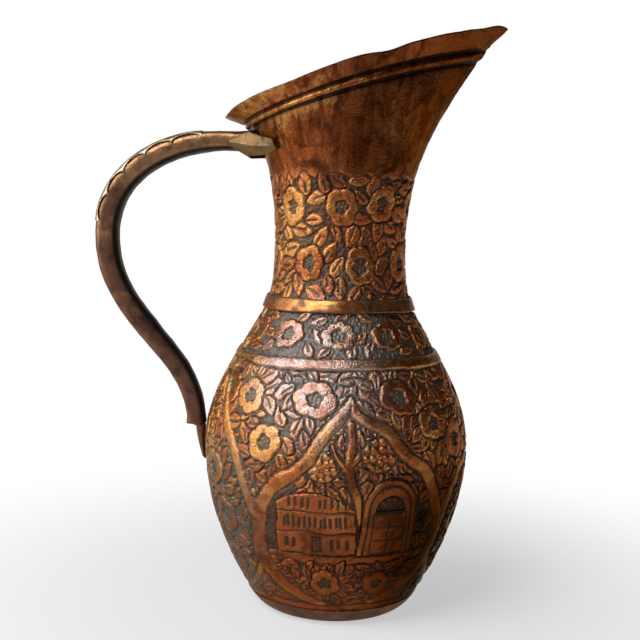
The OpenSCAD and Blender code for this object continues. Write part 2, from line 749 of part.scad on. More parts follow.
module handle_tongue() {
    color(dark_copper)
        skin(concat(
            [for (s = [tongue_top, 1]) tube_ring(s, sheet + seat_gap)],
            [for (z = tongue_stops) tongue_ring(z)]
        ));
}

base_plate();
belly();
neck();
neck_collar();
handle_tube();
handle_spine();
clasp_leaf_near();
clasp_leaf_far();
handle_tongue();
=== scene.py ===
import math

import bpy
import numpy as np
from mathutils import Matrix, Vector


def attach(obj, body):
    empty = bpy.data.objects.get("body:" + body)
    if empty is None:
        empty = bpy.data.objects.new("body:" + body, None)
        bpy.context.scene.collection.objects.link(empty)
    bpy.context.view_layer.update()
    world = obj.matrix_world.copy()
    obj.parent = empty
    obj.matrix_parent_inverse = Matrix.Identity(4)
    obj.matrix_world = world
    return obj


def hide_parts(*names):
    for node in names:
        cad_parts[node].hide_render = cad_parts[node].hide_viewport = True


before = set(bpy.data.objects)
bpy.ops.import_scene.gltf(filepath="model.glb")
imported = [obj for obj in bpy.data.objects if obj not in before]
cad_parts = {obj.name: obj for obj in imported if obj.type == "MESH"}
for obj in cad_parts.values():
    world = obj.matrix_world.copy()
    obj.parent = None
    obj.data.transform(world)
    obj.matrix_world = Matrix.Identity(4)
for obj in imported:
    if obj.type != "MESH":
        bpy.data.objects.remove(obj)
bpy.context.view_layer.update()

scene = bpy.context.scene
MM = 0.001


# Camera, at the photograph's place: 0.55 m in front of the jug's axis, looking a little down.

CAMERA_AT = (0.0, -0.55, 0.2)
CAMERA_LENS, SENSOR_WIDTH, CLIP_END = 59.73, 36.0, 50.0
CAMERA_PITCH, CAMERA_PAN, CAMERA_ROLL = 0.0937034, -0.0173871, 0.0221119


def set_camera():
    flat = math.cos(CAMERA_PITCH)
    look = Vector((math.sin(CAMERA_PAN) * flat, math.cos(CAMERA_PAN) * flat, -math.sin(CAMERA_PITCH)))
    level = look.cross(Vector((0, 0, 1))).normalized()
    upright = level.cross(look)
    c, s = math.cos(CAMERA_ROLL), math.sin(CAMERA_ROLL)
    right, top = c * level + s * upright, c * upright - s * level
    data = bpy.data.cameras.new("camera")
    data.lens, data.sensor_width, data.clip_end = CAMERA_LENS, SENSOR_WIDTH, CLIP_END
    camera = bpy.data.objects.new("camera", data)
    scene.collection.objects.link(camera)
    camera.matrix_world = Matrix([*zip(right, top, -look, CAMERA_AT), (0, 0, 0, 1)])
    scene.camera = camera


set_camera()


# Measures in millimetres, the same values as in the part's source.

SHEET, PLATE_T, SEAM_GAP, SEAT_GAP = 1.2, 1.4, 0.1, 0.2
FOOT_R, LAP_R, LAP_Z = 32.0, 44.6, 9.0
BELLY_R, BELLY_Z = 68.5, 85.0
LOW_OUT, LOW_UP, LOW_FULL, UP_FULL = 10.2, 15.9, 31.0, 31.0
JOINT_R, JOINT_Z = 37.6, 158.5
UP_OUT, UP_DROP = 6.4, 17.5
BAND_Z, BAND_W = 132.0, 7.6
COLLAR_W, COLLAR_T, COLLAR_TURN, COLLAR_SLANT = 7.8, 0.9, -72.0, 24.0
WAIST_R, WAIST_Z = 34.1, 190.0
RIM_ARCH, SPOUT_SHARP = 3.8, 0.7
SIDE_REACH, RIB_SIDE_OUT, FLANGE_SIDE_OUT = 7.4, 2.2, 3.8
RIB_PROUD, GROOVE_DEEP, GROOVE_HALF = 2.0, 0.8, 0.08
GRIP_SQUARE = 0.62
SEAT_T, GRIP_T, END_T, GRIP_W, END_W = 10.4, 12.4, 10.2, 16.0, 12.0
SPINE_FROM, SPINE_TO, SCALLOPS = 0.12, 0.47, 5
SPINE_WRAP, POINT_WRAP, SPINE_T = 40.0, 82.0, 0.6

# A distance out of reach, the range of a random direction and a full turn in radians, and small steps.
FAR = 99.0
ANY_WAY, ROUND = 6.28, 6.2832
NUDGE, TINY = 0.01, 1e-9


def lerp(a, b, t):
    return a + (b - a) * t


def smooth(t):
    t = np.clip(t, 0.0, 1.0)
    return t * t * (3 - 2 * t)


def bump(x, middle, half, power=2):
    """1 at the middle, falling to nothing on both sides."""
    return np.exp(-((x - middle) / half) ** power)


def signed_turn(turn):
    """Turns in degrees, from -180 to 180."""
    return (turn + 180.0) % 360.0 - 180.0


def bez(points, t):
    t = np.asarray(t, float)[..., None]
    p = np.asarray(points, float)
    return (1 - t) ** 3 * p[0] + 3 * t * (1 - t) ** 2 * p[1] + 3 * t * t * (1 - t) * p[2] + t ** 3 * p[3]


def signed_power(v, e):
    return np.sign(v) * np.abs(v) ** e


def unit(v):
    return v / np.linalg.norm(v, axis=-1, keepdims=True)


def cells(seed, x, y, around):
    """Smooth random values from 0 to 1 with cells of size 1. x repeats after a whole number of cells."""
    draw = np.random.RandomState(seed)
    x, y = np.broadcast_arrays(np.asarray(x, float), np.asarray(y, float))
    low = math.floor(y.min())
    tall = int(math.floor(y.max()) - low) + 2
    knots = draw.rand(tall, around)
    i, j = np.floor(x).astype(int), np.floor(y - low).astype(int)
    a, b = smooth(x - i), smooth(y - low - j)
    i0, i1 = i % around, (i + 1) % around
    return lerp(lerp(knots[j, i0], knots[j, i1], a), lerp(knots[j + 1, i0], knots[j + 1, i1], a), b)


def dimples(seed, x, y, around):
    """Squared distance to the nearest of one scattered point in each cell: shallow round hammer marks."""
    draw = np.random.RandomState(seed)
    x, y = np.broadcast_arrays(np.asarray(x, float), np.asarray(y, float))
    low = math.floor(y.min()) - 1
    tall = int(math.floor(y.max()) - low) + 3
    px, py = draw.rand(tall, around), draw.rand(tall, around)
    i, j = np.floor(x).astype(int), np.floor(y - low).astype(int)
    best = np.ones(x.shape)
    for di in (-1, 0, 1):
        for dj in (-1, 0, 1):
            k, m = (i + di) % around, np.clip(j + dj, 0, tall - 1)
            best = np.minimum(best, (i + di + px[m, k] - x) ** 2 + (j + dj + py[m, k] - (y - low)) ** 2)
    return best


# Meshes. A wall is a fine outer face and a plain inner one, closed along its edges.

def new_piece(name, points, faces, material, node, marks, angle=60.0):
    mesh = bpy.data.meshes.new(name)
    mesh.from_pydata((np.asarray(points) * MM).tolist(), [], faces)
    mesh.update()
    piece = bpy.data.objects.new(name, mesh)
    scene.collection.objects.link(piece)
    layer = mesh.color_attributes.new("marks", "FLOAT_COLOR", "POINT")
    layer.data.foreach_set("color", np.asarray(marks, np.float32).ravel())
    mesh.materials.append(material)
    bpy.ops.object.select_all(action="DESELECT")
    piece.select_set(True)
    bpy.context.view_layer.objects.active = piece
    bpy.ops.object.shade_smooth_by_angle(angle=math.radians(angle))
    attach(piece, "root")
    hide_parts(node)


def wall_mesh(outer, inner, ring):
    """Points and faces of a closed wall. outer has a whole number of rows and columns for each one of inner."""
    rows, cols = outer.shape[:2]
    rows_in, cols_in = inner.shape[:2]
    across, across_in = (cols, cols_in) if ring else (cols - 1, cols_in - 1)
    top, top_in = rows - 1, rows_in - 1
    kx, ky = across // across_in, top // top_in

    def out(i, j):
        return i * cols + j % cols

    def inn(i, j):
        return rows * cols + i * cols_in + j % cols_in

    i, j = np.indices((top, across))
    faces = np.stack([out(i, j), out(i, j + 1), out(i + 1, j + 1), out(i + 1, j)], -1).reshape(-1, 4).tolist()
    i, j = np.indices((top_in, across_in))
    faces += np.stack([inn(i, j), inn(i + 1, j), inn(i + 1, j + 1), inn(i, j + 1)], -1).reshape(-1, 4).tolist()
    for j in range(across_in):
        span = range(kx * j, kx * (j + 1) + 1)
        faces.append([out(0, m) for m in reversed(span)] + [inn(0, j), inn(0, j + 1)])
        faces.append([out(top, m) for m in span] + [inn(top_in, j + 1), inn(top_in, j)])
    for i in range(0 if ring else top_in):
        span = range(ky * i, ky * (i + 1) + 1)
        faces.append([out(m, 0) for m in span] + [inn(i + 1, 0), inn(i, 0)])
        faces.append([out(m, cols - 1) for m in reversed(span)]
                     + [inn(i, cols_in - 1), inn(i + 1, cols_in - 1)])
    return np.concatenate([outer.reshape(-1, 3), inner.reshape(-1, 3)]), faces


def loft_mesh(rings):
    """Points and faces through closed rings of points, with a flat end on the first and the last."""
    m, n = rings.shape[:2]
    i, j = np.indices((m - 1, n))
    q = (j + 1) % n
    faces = np.stack([i * n + j, i * n + q, (i + 1) * n + q, (i + 1) * n + j], -1).reshape(-1, 4).tolist()
    return rings.reshape(-1, 3), faces + [list(range(n - 1, -1, -1)), list(range((m - 1) * n, m * n))]


def face_out(points, faces):
    """Turns all faces round where the closed mesh is inside out."""
    volume = sum(np.dot(points[f[0]], np.cross(points[f[k]], points[f[k + 1]]))
                 for f in faces for k in range(1, len(f) - 1))
    return faces if volume > 0 else [f[::-1] for f in faces]


def plain_wear_and_painted_light(points, dark, tone):
    """Marks for a piece whose first points carry these dark places and tones: wear and dirt on some pieces,
    painted shade and sheen on others. The rest is inside.
    """
    marks = np.tile(PLAIN_INSIDE, (len(points), 1))
    dark, tone = np.broadcast_arrays(dark, tone)
    one = np.ones(dark.size)
    marks[:dark.size] = np.stack([one, dark.ravel().clip(0, 1), tone.ravel().clip(0, 1), one], -1)
    return marks


def loft_piece(name, rings, material, node, tone, angle):
    points, faces = loft_mesh(np.asarray(rings))
    marks = plain_wear_and_painted_light(points, 0.0, np.broadcast_to(np.ravel(tone), len(points)))
    new_piece(name, points, face_out(points, faces), material, node, marks, angle)


# Relief. Heights are in millimetres, 0 on the wall's outer face and negative into the sheet.
# Marks are four shares: what is raised, what is dark, how bright it is from wear and in places from painted
# light, and 1 for outside.

GROUND, LINE = -1.25, -1.6
GROUND_TONE, LINE_HALF, ROW_SLACK = 0.2, 0.36, 14.0
PLAIN_INSIDE, CHASED_INSIDE = (1.0, 0.6, 0.1, 0.0), (1.0, 0.5, 0.1, 0.0)


class Relief:
    """A field of heights over a wall. phi is the turn from the front, in degrees, and y runs up the wall.

    dark marks chased lines and hollows, and painted shade in the rim's grooves, tone how bright the metal is,
    from wear and in places from painted highlights, and raised what stands over the ground."""

    def __init__(self, phi, y, radius, seed):
        self.phi, self.y, self.radius, self.seed = phi, y, radius, seed
        self.h, self.tone = np.full(y.shape, GROUND), np.full(y.shape, GROUND_TONE)
        self.dark, self.raised = np.zeros(y.shape), np.zeros(y.shape)
        self.middle = y[:, len(phi) // 2]
        self.all = np.ix_(*map(np.arange, y.shape))

    def near(self, phi, y, reach):
        """The part of the field round a point: its rows and columns, and the way from the point."""
        turn = np.radians(signed_turn(self.phi - phi))
        rows = np.nonzero(np.abs(self.middle - y) < reach + ROW_SLACK)[0]
        cols = np.nonzero(np.abs(turn) * self.radius[rows].min() < reach)[0]
        at = np.ix_(rows, cols)
        return at, turn[cols][None, :] * self.radius[rows][:, None], self.y[at] - y

    def grain(self, seed, turns, size, kind=cells):
        """Random values over the field, of one kind: so many round it, each of this size in height."""
        return kind(seed, self.phi[None, :] / 360.0 * turns, self.y / size, turns)

    def stamp(self, at, away, height, edge, tone, cut=0.7):
        """Sets a raised form down: away is the distance outside its outline, negative within."""
        h, dark = self.h[at], self.dark[at]
        inside = away < 0
        full, clear = smooth(-away / edge), smooth(away / cut)
        self.h[at] = np.where(inside, lerp(LINE, height, full), np.minimum(h, lerp(LINE, h, clear)))
        line = bump(away, 0, LINE_HALF)
        self.dark[at] = np.where(inside, line, np.maximum(dark, line))
        self.tone[at] = np.where(inside, tone, self.tone[at])
        self.raised[at] = np.where(inside, full, self.raised[at] * clear)

    def chase(self, at, away, depth, width, shade=1.0, only=True):
        """A chased line: away is the distance from its middle, and only says where it may lie."""
        cut = np.where(only, bump(away, 0, width), 0.0)
        self.h[at] -= depth * cut
        self.dark[at] = np.maximum(self.dark[at], shade * cut)

    def sink(self, at, inside, height, dark):
        """Sets heights and darkness within an opening."""
        self.h[at] = np.where(inside, height, self.h[at])
        self.dark[at] = np.where(inside, dark, self.dark[at])

    def marks(self, rows, cols, inner_count):
        at = np.ix_(rows, cols)
        shares = [np.clip(v[at], 0, 1) for v in (self.raised, self.dark, self.tone)]
        outer = np.stack(shares + [np.ones(shares[0].shape)], -1).reshape(-1, 4)
        return np.concatenate([outer, np.tile(CHASED_INSIDE, (inner_count, 1))])


PETALS = 6
HEART_FLOOR, HEART_SHARE, FLOWER_TONE, LEAF_TONE = -1.35, (0.34, 0.44), (0.15, 0.62), (0.05, 0.55)
FLOWER_REACH, LEAF_REACH, HEART_DOTS = 0.75, 0.62, 7


def flower(field, phi, y, size, seed, petals=PETALS, tall=1.0, shine=None):
    draw = np.random.RandomState(seed)
    at, dx, dy = field.near(phi, y, size * FLOWER_REACH)
    turn = draw.rand() * ANY_WAY
    stretch = tall + 0.10 * (draw.rand() - 0.5)
    rho = np.hypot(dx * stretch, dy / stretch)
    theta = np.arctan2(dy, dx) + turn
    lobe = np.abs(np.sin(petals * theta / 2 + 0.4 * np.sin(theta + ANY_WAY * draw.rand())))
    wobble = 1 + 0.06 * np.sin(2 * theta + ANY_WAY * draw.rand())
    wobble = wobble + 0.04 * np.sin(3 * theta + ANY_WAY * draw.rand())
    edge = size / 2 * (0.87 + 0.13 * lobe ** 0.8) * wobble
    heart = size / 2 * lerp(*HEART_SHARE, draw.rand())
    heart = heart * (1 + 0.12 * np.sin(5 * theta + ANY_WAY * draw.rand()) + 0.08 * np.sin(3 * theta))
    share = np.clip((rho - heart) / np.maximum(edge - heart, 0.1), 0, 1)
    petal = -0.05 - 0.65 * np.abs(share - 0.5) ** 2.2 - 0.26 * (1 - lobe) ** 3 * share
    petal -= 0.16 * cells(seed, dx / 3.0 + 40, dy / 3.0 + 40, 90)
    dots = np.zeros(rho.shape)
    for k in range(HEART_DOTS):
        r0, a0 = heart.mean() * (0.0 if k == 0 else 0.6), ANY_WAY * (k + 0.5 * draw.rand()) / 6
        dots = np.maximum(dots, np.exp(-((dx - r0 * np.cos(a0)) ** 2 + (dy - r0 * np.sin(a0)) ** 2) / 0.45))
    height = lerp(HEART_FLOOR + 0.55 * dots, petal, smooth((rho - heart) / 0.8 + 0.5))
    tone = lerp(*FLOWER_TONE, draw.rand())
    field.stamp(at, rho - edge, height, 1.0, tone if shine is None else shine)
    core = smooth((heart - rho) / 0.5 + 0.6) * (1 - 0.5 * dots)
    field.dark[at] = np.maximum(field.dark[at], core)
    for k in range(petals):
        nick = theta % ROUND - (k + 0.5 * draw.rand()) * ROUND / petals
        only = (share > 0.02) & (share < lerp(0.2, 0.5, draw.rand()))
        if draw.rand() < 0.6:
            field.chase(at, np.abs(nick) * rho, 0.25, 0.35, 0.55, only)


def leaf(field, phi, y, length, width, angle, seed):
    draw = np.random.RandomState(seed)
    at, dx, dy = field.near(phi, y, length * LEAF_REACH)
    c, s = math.cos(angle), math.sin(angle)
    along, over = dx * c + dy * s, -dx * s + dy * c
    over = over + (draw.rand() - 0.5) * 1.4 * ((along / length * 2) ** 2 - 0.5)
    share = np.clip(along / length + 0.5, 0.001, 0.999)
    half = width / 2 * np.sin(math.pi * share ** (0.70 + 0.3 * draw.rand())) ** 0.75
    away = np.maximum((np.abs(over) - half) * 0.9, np.abs(along) - length / 2)
    tilt = (draw.rand() - 0.5) * 0.5
    height = -0.18 - 0.32 * (over / np.maximum(half, 0.3)) ** 2 - 0.15 * draw.rand() - tilt * along / length
    field.stamp(at, away, np.minimum(height, -0.05), 0.9, lerp(*LEAF_TONE, draw.rand()))
    reach = lerp(0.5, 0.72, draw.rand())
    vein = np.abs(over - 0.12 * width * (draw.rand() - 0.5))
    field.chase(at, vein, 0.65, 0.5, only=(share > 0.12) & (share < reach) & (away < -0.15))
    for side in (-1, 1):
        if draw.rand() < 0.45:
            start = lerp(0.3, 0.6, draw.rand())
            slant = over * side - (along - (start - 0.5) * length) * 0.9
            field.chase(at, np.abs(slant) * 0.75, 0.35, 0.34, 0.7, (away < -0.2) & (over * side > 0.4))


MOST_DISCS, LEAF_UNDER = 6000, 2.2
LEAF_SLIM, LEAF_SPOTS = (0.54, 0.70), ((-0.3, 0.19), (0.0, 0.32), (0.3, 0.15))
MIDDLE_LEAVES, SMALL_LEAVES = (11.5, 15.0), (8.0, 11.0)


def anywhere(phi, y):
    return True


def scatter_leaves(field, taken, box, allowed, tries, seed, sizes=MIDDLE_LEAVES, apart=1.0, least=0.5):
    """Fills a zone with leaves that keep clear of each other. taken holds (phi, y, radius) of what is there.

    apart is how far from each other they stand, and least the share of the size that the last ones have."""
    draw = np.random.RandomState(seed)
    phi0, phi1, y0, y1 = box
    leaves = []
    discs = np.zeros((MOST_DISCS, 3))
    for k, (p, q, r) in enumerate(taken):
        discs[k] = (p, q, r - LEAF_UNDER)
    count = big = len(taken)
    for k in range(tries):
        phi, y, angle = lerp(phi0, phi1, draw.rand()), lerp(y0, y1, draw.rand()), ANY_WAY * draw.rand()
        length = lerp(*sizes, draw.rand()) * lerp(1.0, least, max(k / tries - 0.3, 0) / 0.7)
        width = length * lerp(*LEAF_SLIM, draw.rand())
        if not allowed(phi, y):
            continue
        r = float(np.interp(y, field.middle, field.radius))
        table = discs[:count]
        dx, dy = np.radians(signed_turn(table[:, 0] - phi)) * r, table[:, 1] - y
        if big:
            here = np.argmin(np.hypot(dx[:big], dy[:big]))
            angle = math.atan2(-dy[here], -dx[here]) + (draw.rand() - 0.5) * 2.0
        c, s = length * math.cos(angle), length * math.sin(angle)
        spots = [(f * c, f * s, width * apart * q) for f, q in LEAF_SPOTS]
        if any((np.hypot(dx - sx, dy - sy) < table[:, 2] + q).any() for sx, sy, q in spots):
            continue
        leaves.append((phi, y, length, width, angle))
        for sx, sy, q in spots:
            discs[count] = (phi + math.degrees(sx / r), y + sy, q)
            count += 1
    for n, values in enumerate(leaves):
        leaf(field, *values, seed * 1000 + n)


def strip_away(field, path, reach):
    """What lies round a line of (phi, y, half width) points, the distance to the line and its half width."""
    low, high = path.min(0), path.max(0)
    phi_mid, y_mid = (low + high)[:2] / 2
    span = max((high[1] - low[1]) / 2, math.radians(high[0] - phi_mid) * BELLY_R) + reach
    at, dx, dy = field.near(phi_mid, y_mid, span)
    r = field.radius[at[0][:, 0]][:, None]
    best, half = np.full(dx.shape, FAR), np.ones(dx.shape)
    for a, b in zip(path[:-1], path[1:]):
        ax, bx = np.radians(a[0] - phi_mid) * r, np.radians(b[0] - phi_mid) * r
        ay, by = a[1] - y_mid, b[1] - y_mid
        run = (bx - ax) ** 2 + (by - ay) ** 2
        t = np.clip(((dx - ax) * (bx - ax) + (dy - ay) * (by - ay)) / run, 0, 1)
        d = np.hypot(dx - ax - t * (bx - ax), dy - ay - t * (by - ay))
        closer = d < best
        best = np.where(closer, d, best)
        half = np.where(closer, lerp(a[2], b[2], t), half)
    return at, best, half


def round_off(path, times=2):
    """Cuts the corners of a line so that it runs in soft bends."""
    p = np.asarray(path, float)
    for _ in range(times):
        a, b = p[:-1], p[1:]
        cut = np.stack([0.75 * a + 0.25 * b, 0.25 * a + 0.75 * b], 1).reshape(-1, p.shape[1])
        p = np.concatenate([p[:1], cut[1:-1], p[-1:]])
    return p


BRANCH_MARGIN = 9.0


def branches(field, paths, seed, tone=0.75):
    """Raised branches along lines of (phi, y, half width) points. They grow into each other."""
    whole, back = np.full(field.y.shape, FAR), np.full(field.y.shape, FAR)
    for path in paths:
        at, d, half = strip_away(field, round_off(path), BRANCH_MARGIN)
        half = half * (0.98 + 0.38 * cells(seed, field.phi[at[1]] / 5.0, field.y[at] / 6.0, 72))
        whole[at] = np.minimum(whole[at], d - half)
        back[at] = np.minimum(back[at], d / half)
    lumps = field.grain(seed + 1, 90, 5.0)
    height = -0.02 - 0.72 * np.minimum(back, 1.2) ** 2.4 - 0.5 * lumps
    field.stamp(field.all, whole, height, 1.2, tone * (0.75 + 0.35 * lumps), cut=0.9)


def inside_outline(outline, phi, y):
    """True if the point is within the closed line."""
    odd = False
    for (ax, ay), (bx, by) in zip(outline, outline[1:] + outline[:1]):
        if (ay > y) != (by > y) and phi < (bx - ax) * (y - ay) / (by - ay) + ax:
            odd = not odd
    return odd


def blur(values, rows, cols):
    """Means over 2 * rows + 1 by 2 * cols + 1 places. Columns run round."""
    tall = np.pad(values, ((rows + 1, rows), (0, 0)), mode="edge")
    wide = np.pad(tall, ((0, 0), (cols + 1, cols)), mode="wrap")
    total = wide.cumsum(0).cumsum(1)
    a, b = 2 * rows + 1, 2 * cols + 1
    return (total[a:, b:] - total[:-a, b:] - total[a:, :-b] + total[:-a, :-b]) / (a * b)


PIT = 1.5


def roughen(field, turns):
    """Punched ground and small hammer marks on what is raised."""
    pits = field.grain(field.seed + 1, turns, PIT)
    fine_pits = field.grain(field.seed + 2, turns * 2, PIT / 2)
    punched = 0.32 * smooth(pits * 2.2 - 0.7) + 0.34 * smooth(fine_pits * 2.2 - 0.8) - 0.3
    field.h -= (1 - field.raised) * punched
    hammered = field.grain(field.seed + 3, turns // 4, PIT * 4, dimples)
    soft = field.grain(field.seed + 4, turns // 8, PIT * 8)
    field.h += field.raised * (0.12 * (hammered - 0.4) - 0.16 * soft - 0.10 * fine_pits * pits)
    field.h = np.minimum(field.h, -0.01)


def weather(field, reach):
    """Dirt in the hollows and wear on what stands out, by each place's height over its surroundings."""
    stand = field.h - blur(field.h, reach, reach)
    field.dark = np.clip(np.maximum(field.dark, 0.9 * smooth(-stand / 0.7)), 0, 1)
    field.tone = np.clip(field.tone + 0.36 * smooth(stand / 0.45) - 0.14, 0, 1)


# Belly wall: its outline by length along the curve, from the base plate's edge to the neck seam.

DISH = np.array([[FOOT_R, 0], [lerp(FOOT_R, LAP_R, 0.42), 0],
                 [lerp(FOOT_R, LAP_R, 0.74), LAP_Z * 0.42], [LAP_R, LAP_Z]])
low_start = DISH[3] + SEAM_GAP * unit(DISH[3] - DISH[2])
LOW_CURVE = [low_start, low_start + [LOW_OUT, LOW_UP], [BELLY_R, BELLY_Z - LOW_FULL], [BELLY_R, BELLY_Z]]
UP_CURVE = [[BELLY_R, BELLY_Z], [BELLY_R, BELLY_Z + UP_FULL],
            [JOINT_R + UP_OUT, JOINT_Z - UP_DROP], [JOINT_R, JOINT_Z]]
fine = np.linspace(0, 1, 600)
outline = np.concatenate([bez(LOW_CURVE, fine), bez(UP_CURVE, fine[1:])])
along_wall = np.concatenate([[0], np.cumsum(np.linalg.norm(np.diff(outline, axis=0), axis=1))])
slope = unit(np.gradient(outline, along_wall, axis=0))


def wall_at(w):
    """Radius, height and outward direction of the belly's wall at a length along its curve."""
    r, z, run_r, run_z = (np.interp(w, along_wall, values) for values in (*outline.T, *slope.T))
    return r, z, run_z, -run_r


def up(z):
    """Length along the belly's curve at a height."""
    return float(np.interp(z, outline[:, 1], along_wall))


def belly_at(z):
    return np.interp(z, outline[:, 1], outline[:, 0])


PANEL_COLS, PANEL_ROWS, RING_ROWS = 240, 300, 84
SEAM_W = up(126.5)
TRUNK_TURN = -33.5
belly_cols = 4 * PANEL_COLS
belly_phi = TRUNK_TURN - 45 + 360.0 * np.arange(belly_cols) / belly_cols
belly_w = np.concatenate([np.linspace(0, SEAM_W, PANEL_ROWS + 1),
                          np.linspace(SEAM_W, along_wall[-1], RING_ROWS + 1)[1:]])
belly = Relief(belly_phi, np.repeat(belly_w[:, None], belly_cols, 1), wall_at(belly_w)[0], 11)

FRAME_TURN = 8.0
LEFT_BRANCH = [(-1.0, 117.5, 1.6), (-5.0, 110.0, 2.6), (-15.0, 97.5, 2.9), (-20.0, 85.0, 3.0),
               (-33.0, 77.0, 3.3), (-40.5, 64.0, 3.8), (-43.0, 52.0, 4.2), (-46.0, 40.0, 4.6),
               (-43.5, 30.0, 4.0), (-35.0, 21.5, 3.4), (-25.0, 15.2, 2.8), (-12.0, 11.2, 2.2)]
RIGHT_BRANCH = [(-1.0, 117.5, 1.6), (1.0, 109.0, 2.8), (15.0, 103.5, 3.0), (19.5, 94.0, 2.8),
                (25.0, 87.5, 2.8), (33.0, 82.5, 3.0), (37.5, 72.0, 3.2), (44.0, 58.0, 3.6), (47.0, 50.0, 4.0)]
RIGHT_FOOT = [(45.0, 36.0, 3.6), (40.0, 26.0, 3.2), (29.0, 17.0, 2.8), (14.0, 11.6, 2.2)]
FAR_RIGHT_BRANCH = [(14.0, 121.0, 1.6), (20.0, 111.0, 2.4), (27.0, 100.5, 2.8), (35.0, 90.0, 2.8),
                    (40.0, 76.5, 3.2), (45.0, 61.5, 3.6)]


def shifted(path, turn):
    return [(p + turn, up(z), half) for p, z, half in path]


def frame_outline(turn):
    return [(p + turn, up(z)) for p, z, _ in LEFT_BRANCH + (RIGHT_BRANCH + RIGHT_FOOT)[::-1]]


FACE_R, BOX_MARGIN = 68.0, 6.0


def panel_box(field, turn, left, right, low, high, wobble, seed):
    """Distance outside a four-sided form between two turns and two heights, with hand-cut edges."""
    y_low, y_high = up(low), up(high)
    half, half_y = math.radians(right - left) / 2 * FACE_R, (y_high - y_low) / 2
    at, dx, dy = field.near(turn + (left + right) / 2, (y_low + y_high) / 2, max(half, half_y) + BOX_MARGIN)
    shake = wobble * (cells(seed, field.phi[at[1]] / 4.0, field.y[at] / 5.0, 90) - 0.5)
    return at, np.maximum(np.abs(dx) - half, np.abs(dy) - half_y) + shake, dx, dy


def unevenness(seed, dx, dy, size):
    return cells(seed + 3, dx / size + 20, dy / size + 20, 60)


# Rows of windows: first place, step, count, spread and shift of places, then height, size and half width.
WINDOWS = [(-16.6, 3.0, 11, 1.5, 0.6, 10.0, 4.6, 0.2), (-16.6, 2.5, 13, 1.2, 0.8, -0.2, 5.6, 0.2),
           (-16.6, 4.2, 3, 1.4, 1.3, -11.6, 5.0, 0.5), (16.6, -3.4, 3, -1.2, -1.3, -11.6, 5.0, 0.4)]
LEFT_OUT = 0.14
DOOR_X, DOOR_Y, DOOR_HALF, DOOR_TALL = 0.6, -12.0, 2.3, 4.2
OPENING = -1.05


def slits(field, at, dx, dy, places, y, tall, wide, draw):
    """A row of narrow windows, cut by hand: some are shorter, and a few are left out."""
    for x in places:
        half = tall / 2 * lerp(0.7, 1.1, draw.rand())
        rise, lean, luck = draw.rand() - 0.5, draw.rand() - 0.5, draw.rand()
        if luck < LEFT_OUT:
            continue
        across = np.abs(dx - x - 0.16 * lean * (dy - y))
        away = np.hypot(np.maximum(across - wide, 0), np.maximum(np.abs(dy - y - rise) - half, 0))
        field.chase(at, away, 0.75, 0.46)


def house(field, turn, seed):
    """A house with rows of narrow windows."""
    draw = np.random.RandomState(seed)
    at, away, dx, dy = panel_box(field, turn, -32.5, 1.0, 41.5, 76.5, 2.2, seed)
    roof = dy - 15.0 + 0.018 * (dx + 2.0) ** 2
    away = np.maximum(away, roof)
    field.stamp(at, away, -0.28 - 0.25 * unevenness(seed, dx, dy, 6.0), 0.9, 0.36)
    for level, shift in ((5.2, 0.2), (-5.8, -0.3)):
        sway = shift * np.sin(dx / 5.0) + 1.2 * cells(seed + 5, dx / 7.0 + 20, level, 60)
        field.chase(at, np.abs(dy - level + 0.5 - sway), 0.6, 0.5, only=away < -0.4)
    for x, step, count, spread, shift, y, tall, wide in WINDOWS:
        places = x + step * np.arange(count) + draw.rand(count) * spread + shift
        slits(field, at, dx, dy, places, y, tall, wide, draw)
    door = np.maximum(np.abs(dx - DOOR_X) - DOOR_HALF, np.abs(dy - DOOR_Y) - DOOR_TALL)
    bars = np.minimum(np.abs((dx - DOOR_X + 9.0) % 1.5 - 0.75), np.abs((dy + 40.0) % 1.6 - 0.8))
    field.sink(at, door < 0, OPENING + 0.4 * smooth(1 - bars / 0.5), smooth(bars / 0.4) * 0.9)
    field.chase(at, np.abs(door), 0.4, 0.4)


GATE_SPRING, GATE_HALF, GATE_FOOT = 4.0, 14.2, 21.0
FANLIGHT_R, FANLIGHT_RAYS = 7.6, 6


def gate(field, turn, seed):
    """An arched gate with double doors under a fanlight."""
    at, _, dx, dy = panel_box(field, turn, 2.5, 30.0, 40.0, 83.0, 0.6, seed)
    over = dy - GATE_SPRING
    arch = np.where(over > 0, np.hypot(dx, over * 0.92) - GATE_HALF, np.abs(dx) - GATE_HALF + 0.03 * over)
    whole = np.maximum(arch, -dy - GATE_FOOT)
    field.stamp(at, whole, -0.10 - 0.25 * unevenness(seed, dx, dy, 6.0), 0.9, 0.35)
    field.chase(at, np.abs(arch + 3.3), 0.7, 0.5, only=whole < -0.5)
    window = np.maximum(np.hypot(dx, over + 1.0) - FANLIGHT_R, -over - 1.0)
    rays = np.abs(np.arctan2(over + 1.0, dx) / math.pi * FANLIGHT_RAYS % 1.0 - 0.5)
    field.sink(at, window < 0, OPENING + 0.5 * smooth(1 - rays / 0.16), smooth(rays / 0.2))
    field.chase(at, np.abs(window), 0.5, 0.45)
    doors = np.maximum(np.abs(dx) - 8.6, np.maximum(over + 1.8, -dy - 19.5))
    field.chase(at, np.abs(doors), 0.45, 0.42)
    field.chase(at, np.abs(dx + 0.3), 0.5, 0.42, only=doors < 0)
    for y in (-5.0, -12.0):
        field.chase(at, np.abs(dy - y), 0.35, 0.38, only=doors < -0.8)
    ring = np.abs(np.hypot(np.abs(dx) - 2.2, dy + 8.5) - 1.1)
    field.chase(at, ring, 0.35, 0.32)


BEAD_R = 2.15
BEAD_RINGS = ((0.0, 1), (0.40, 5), (0.78, 9))


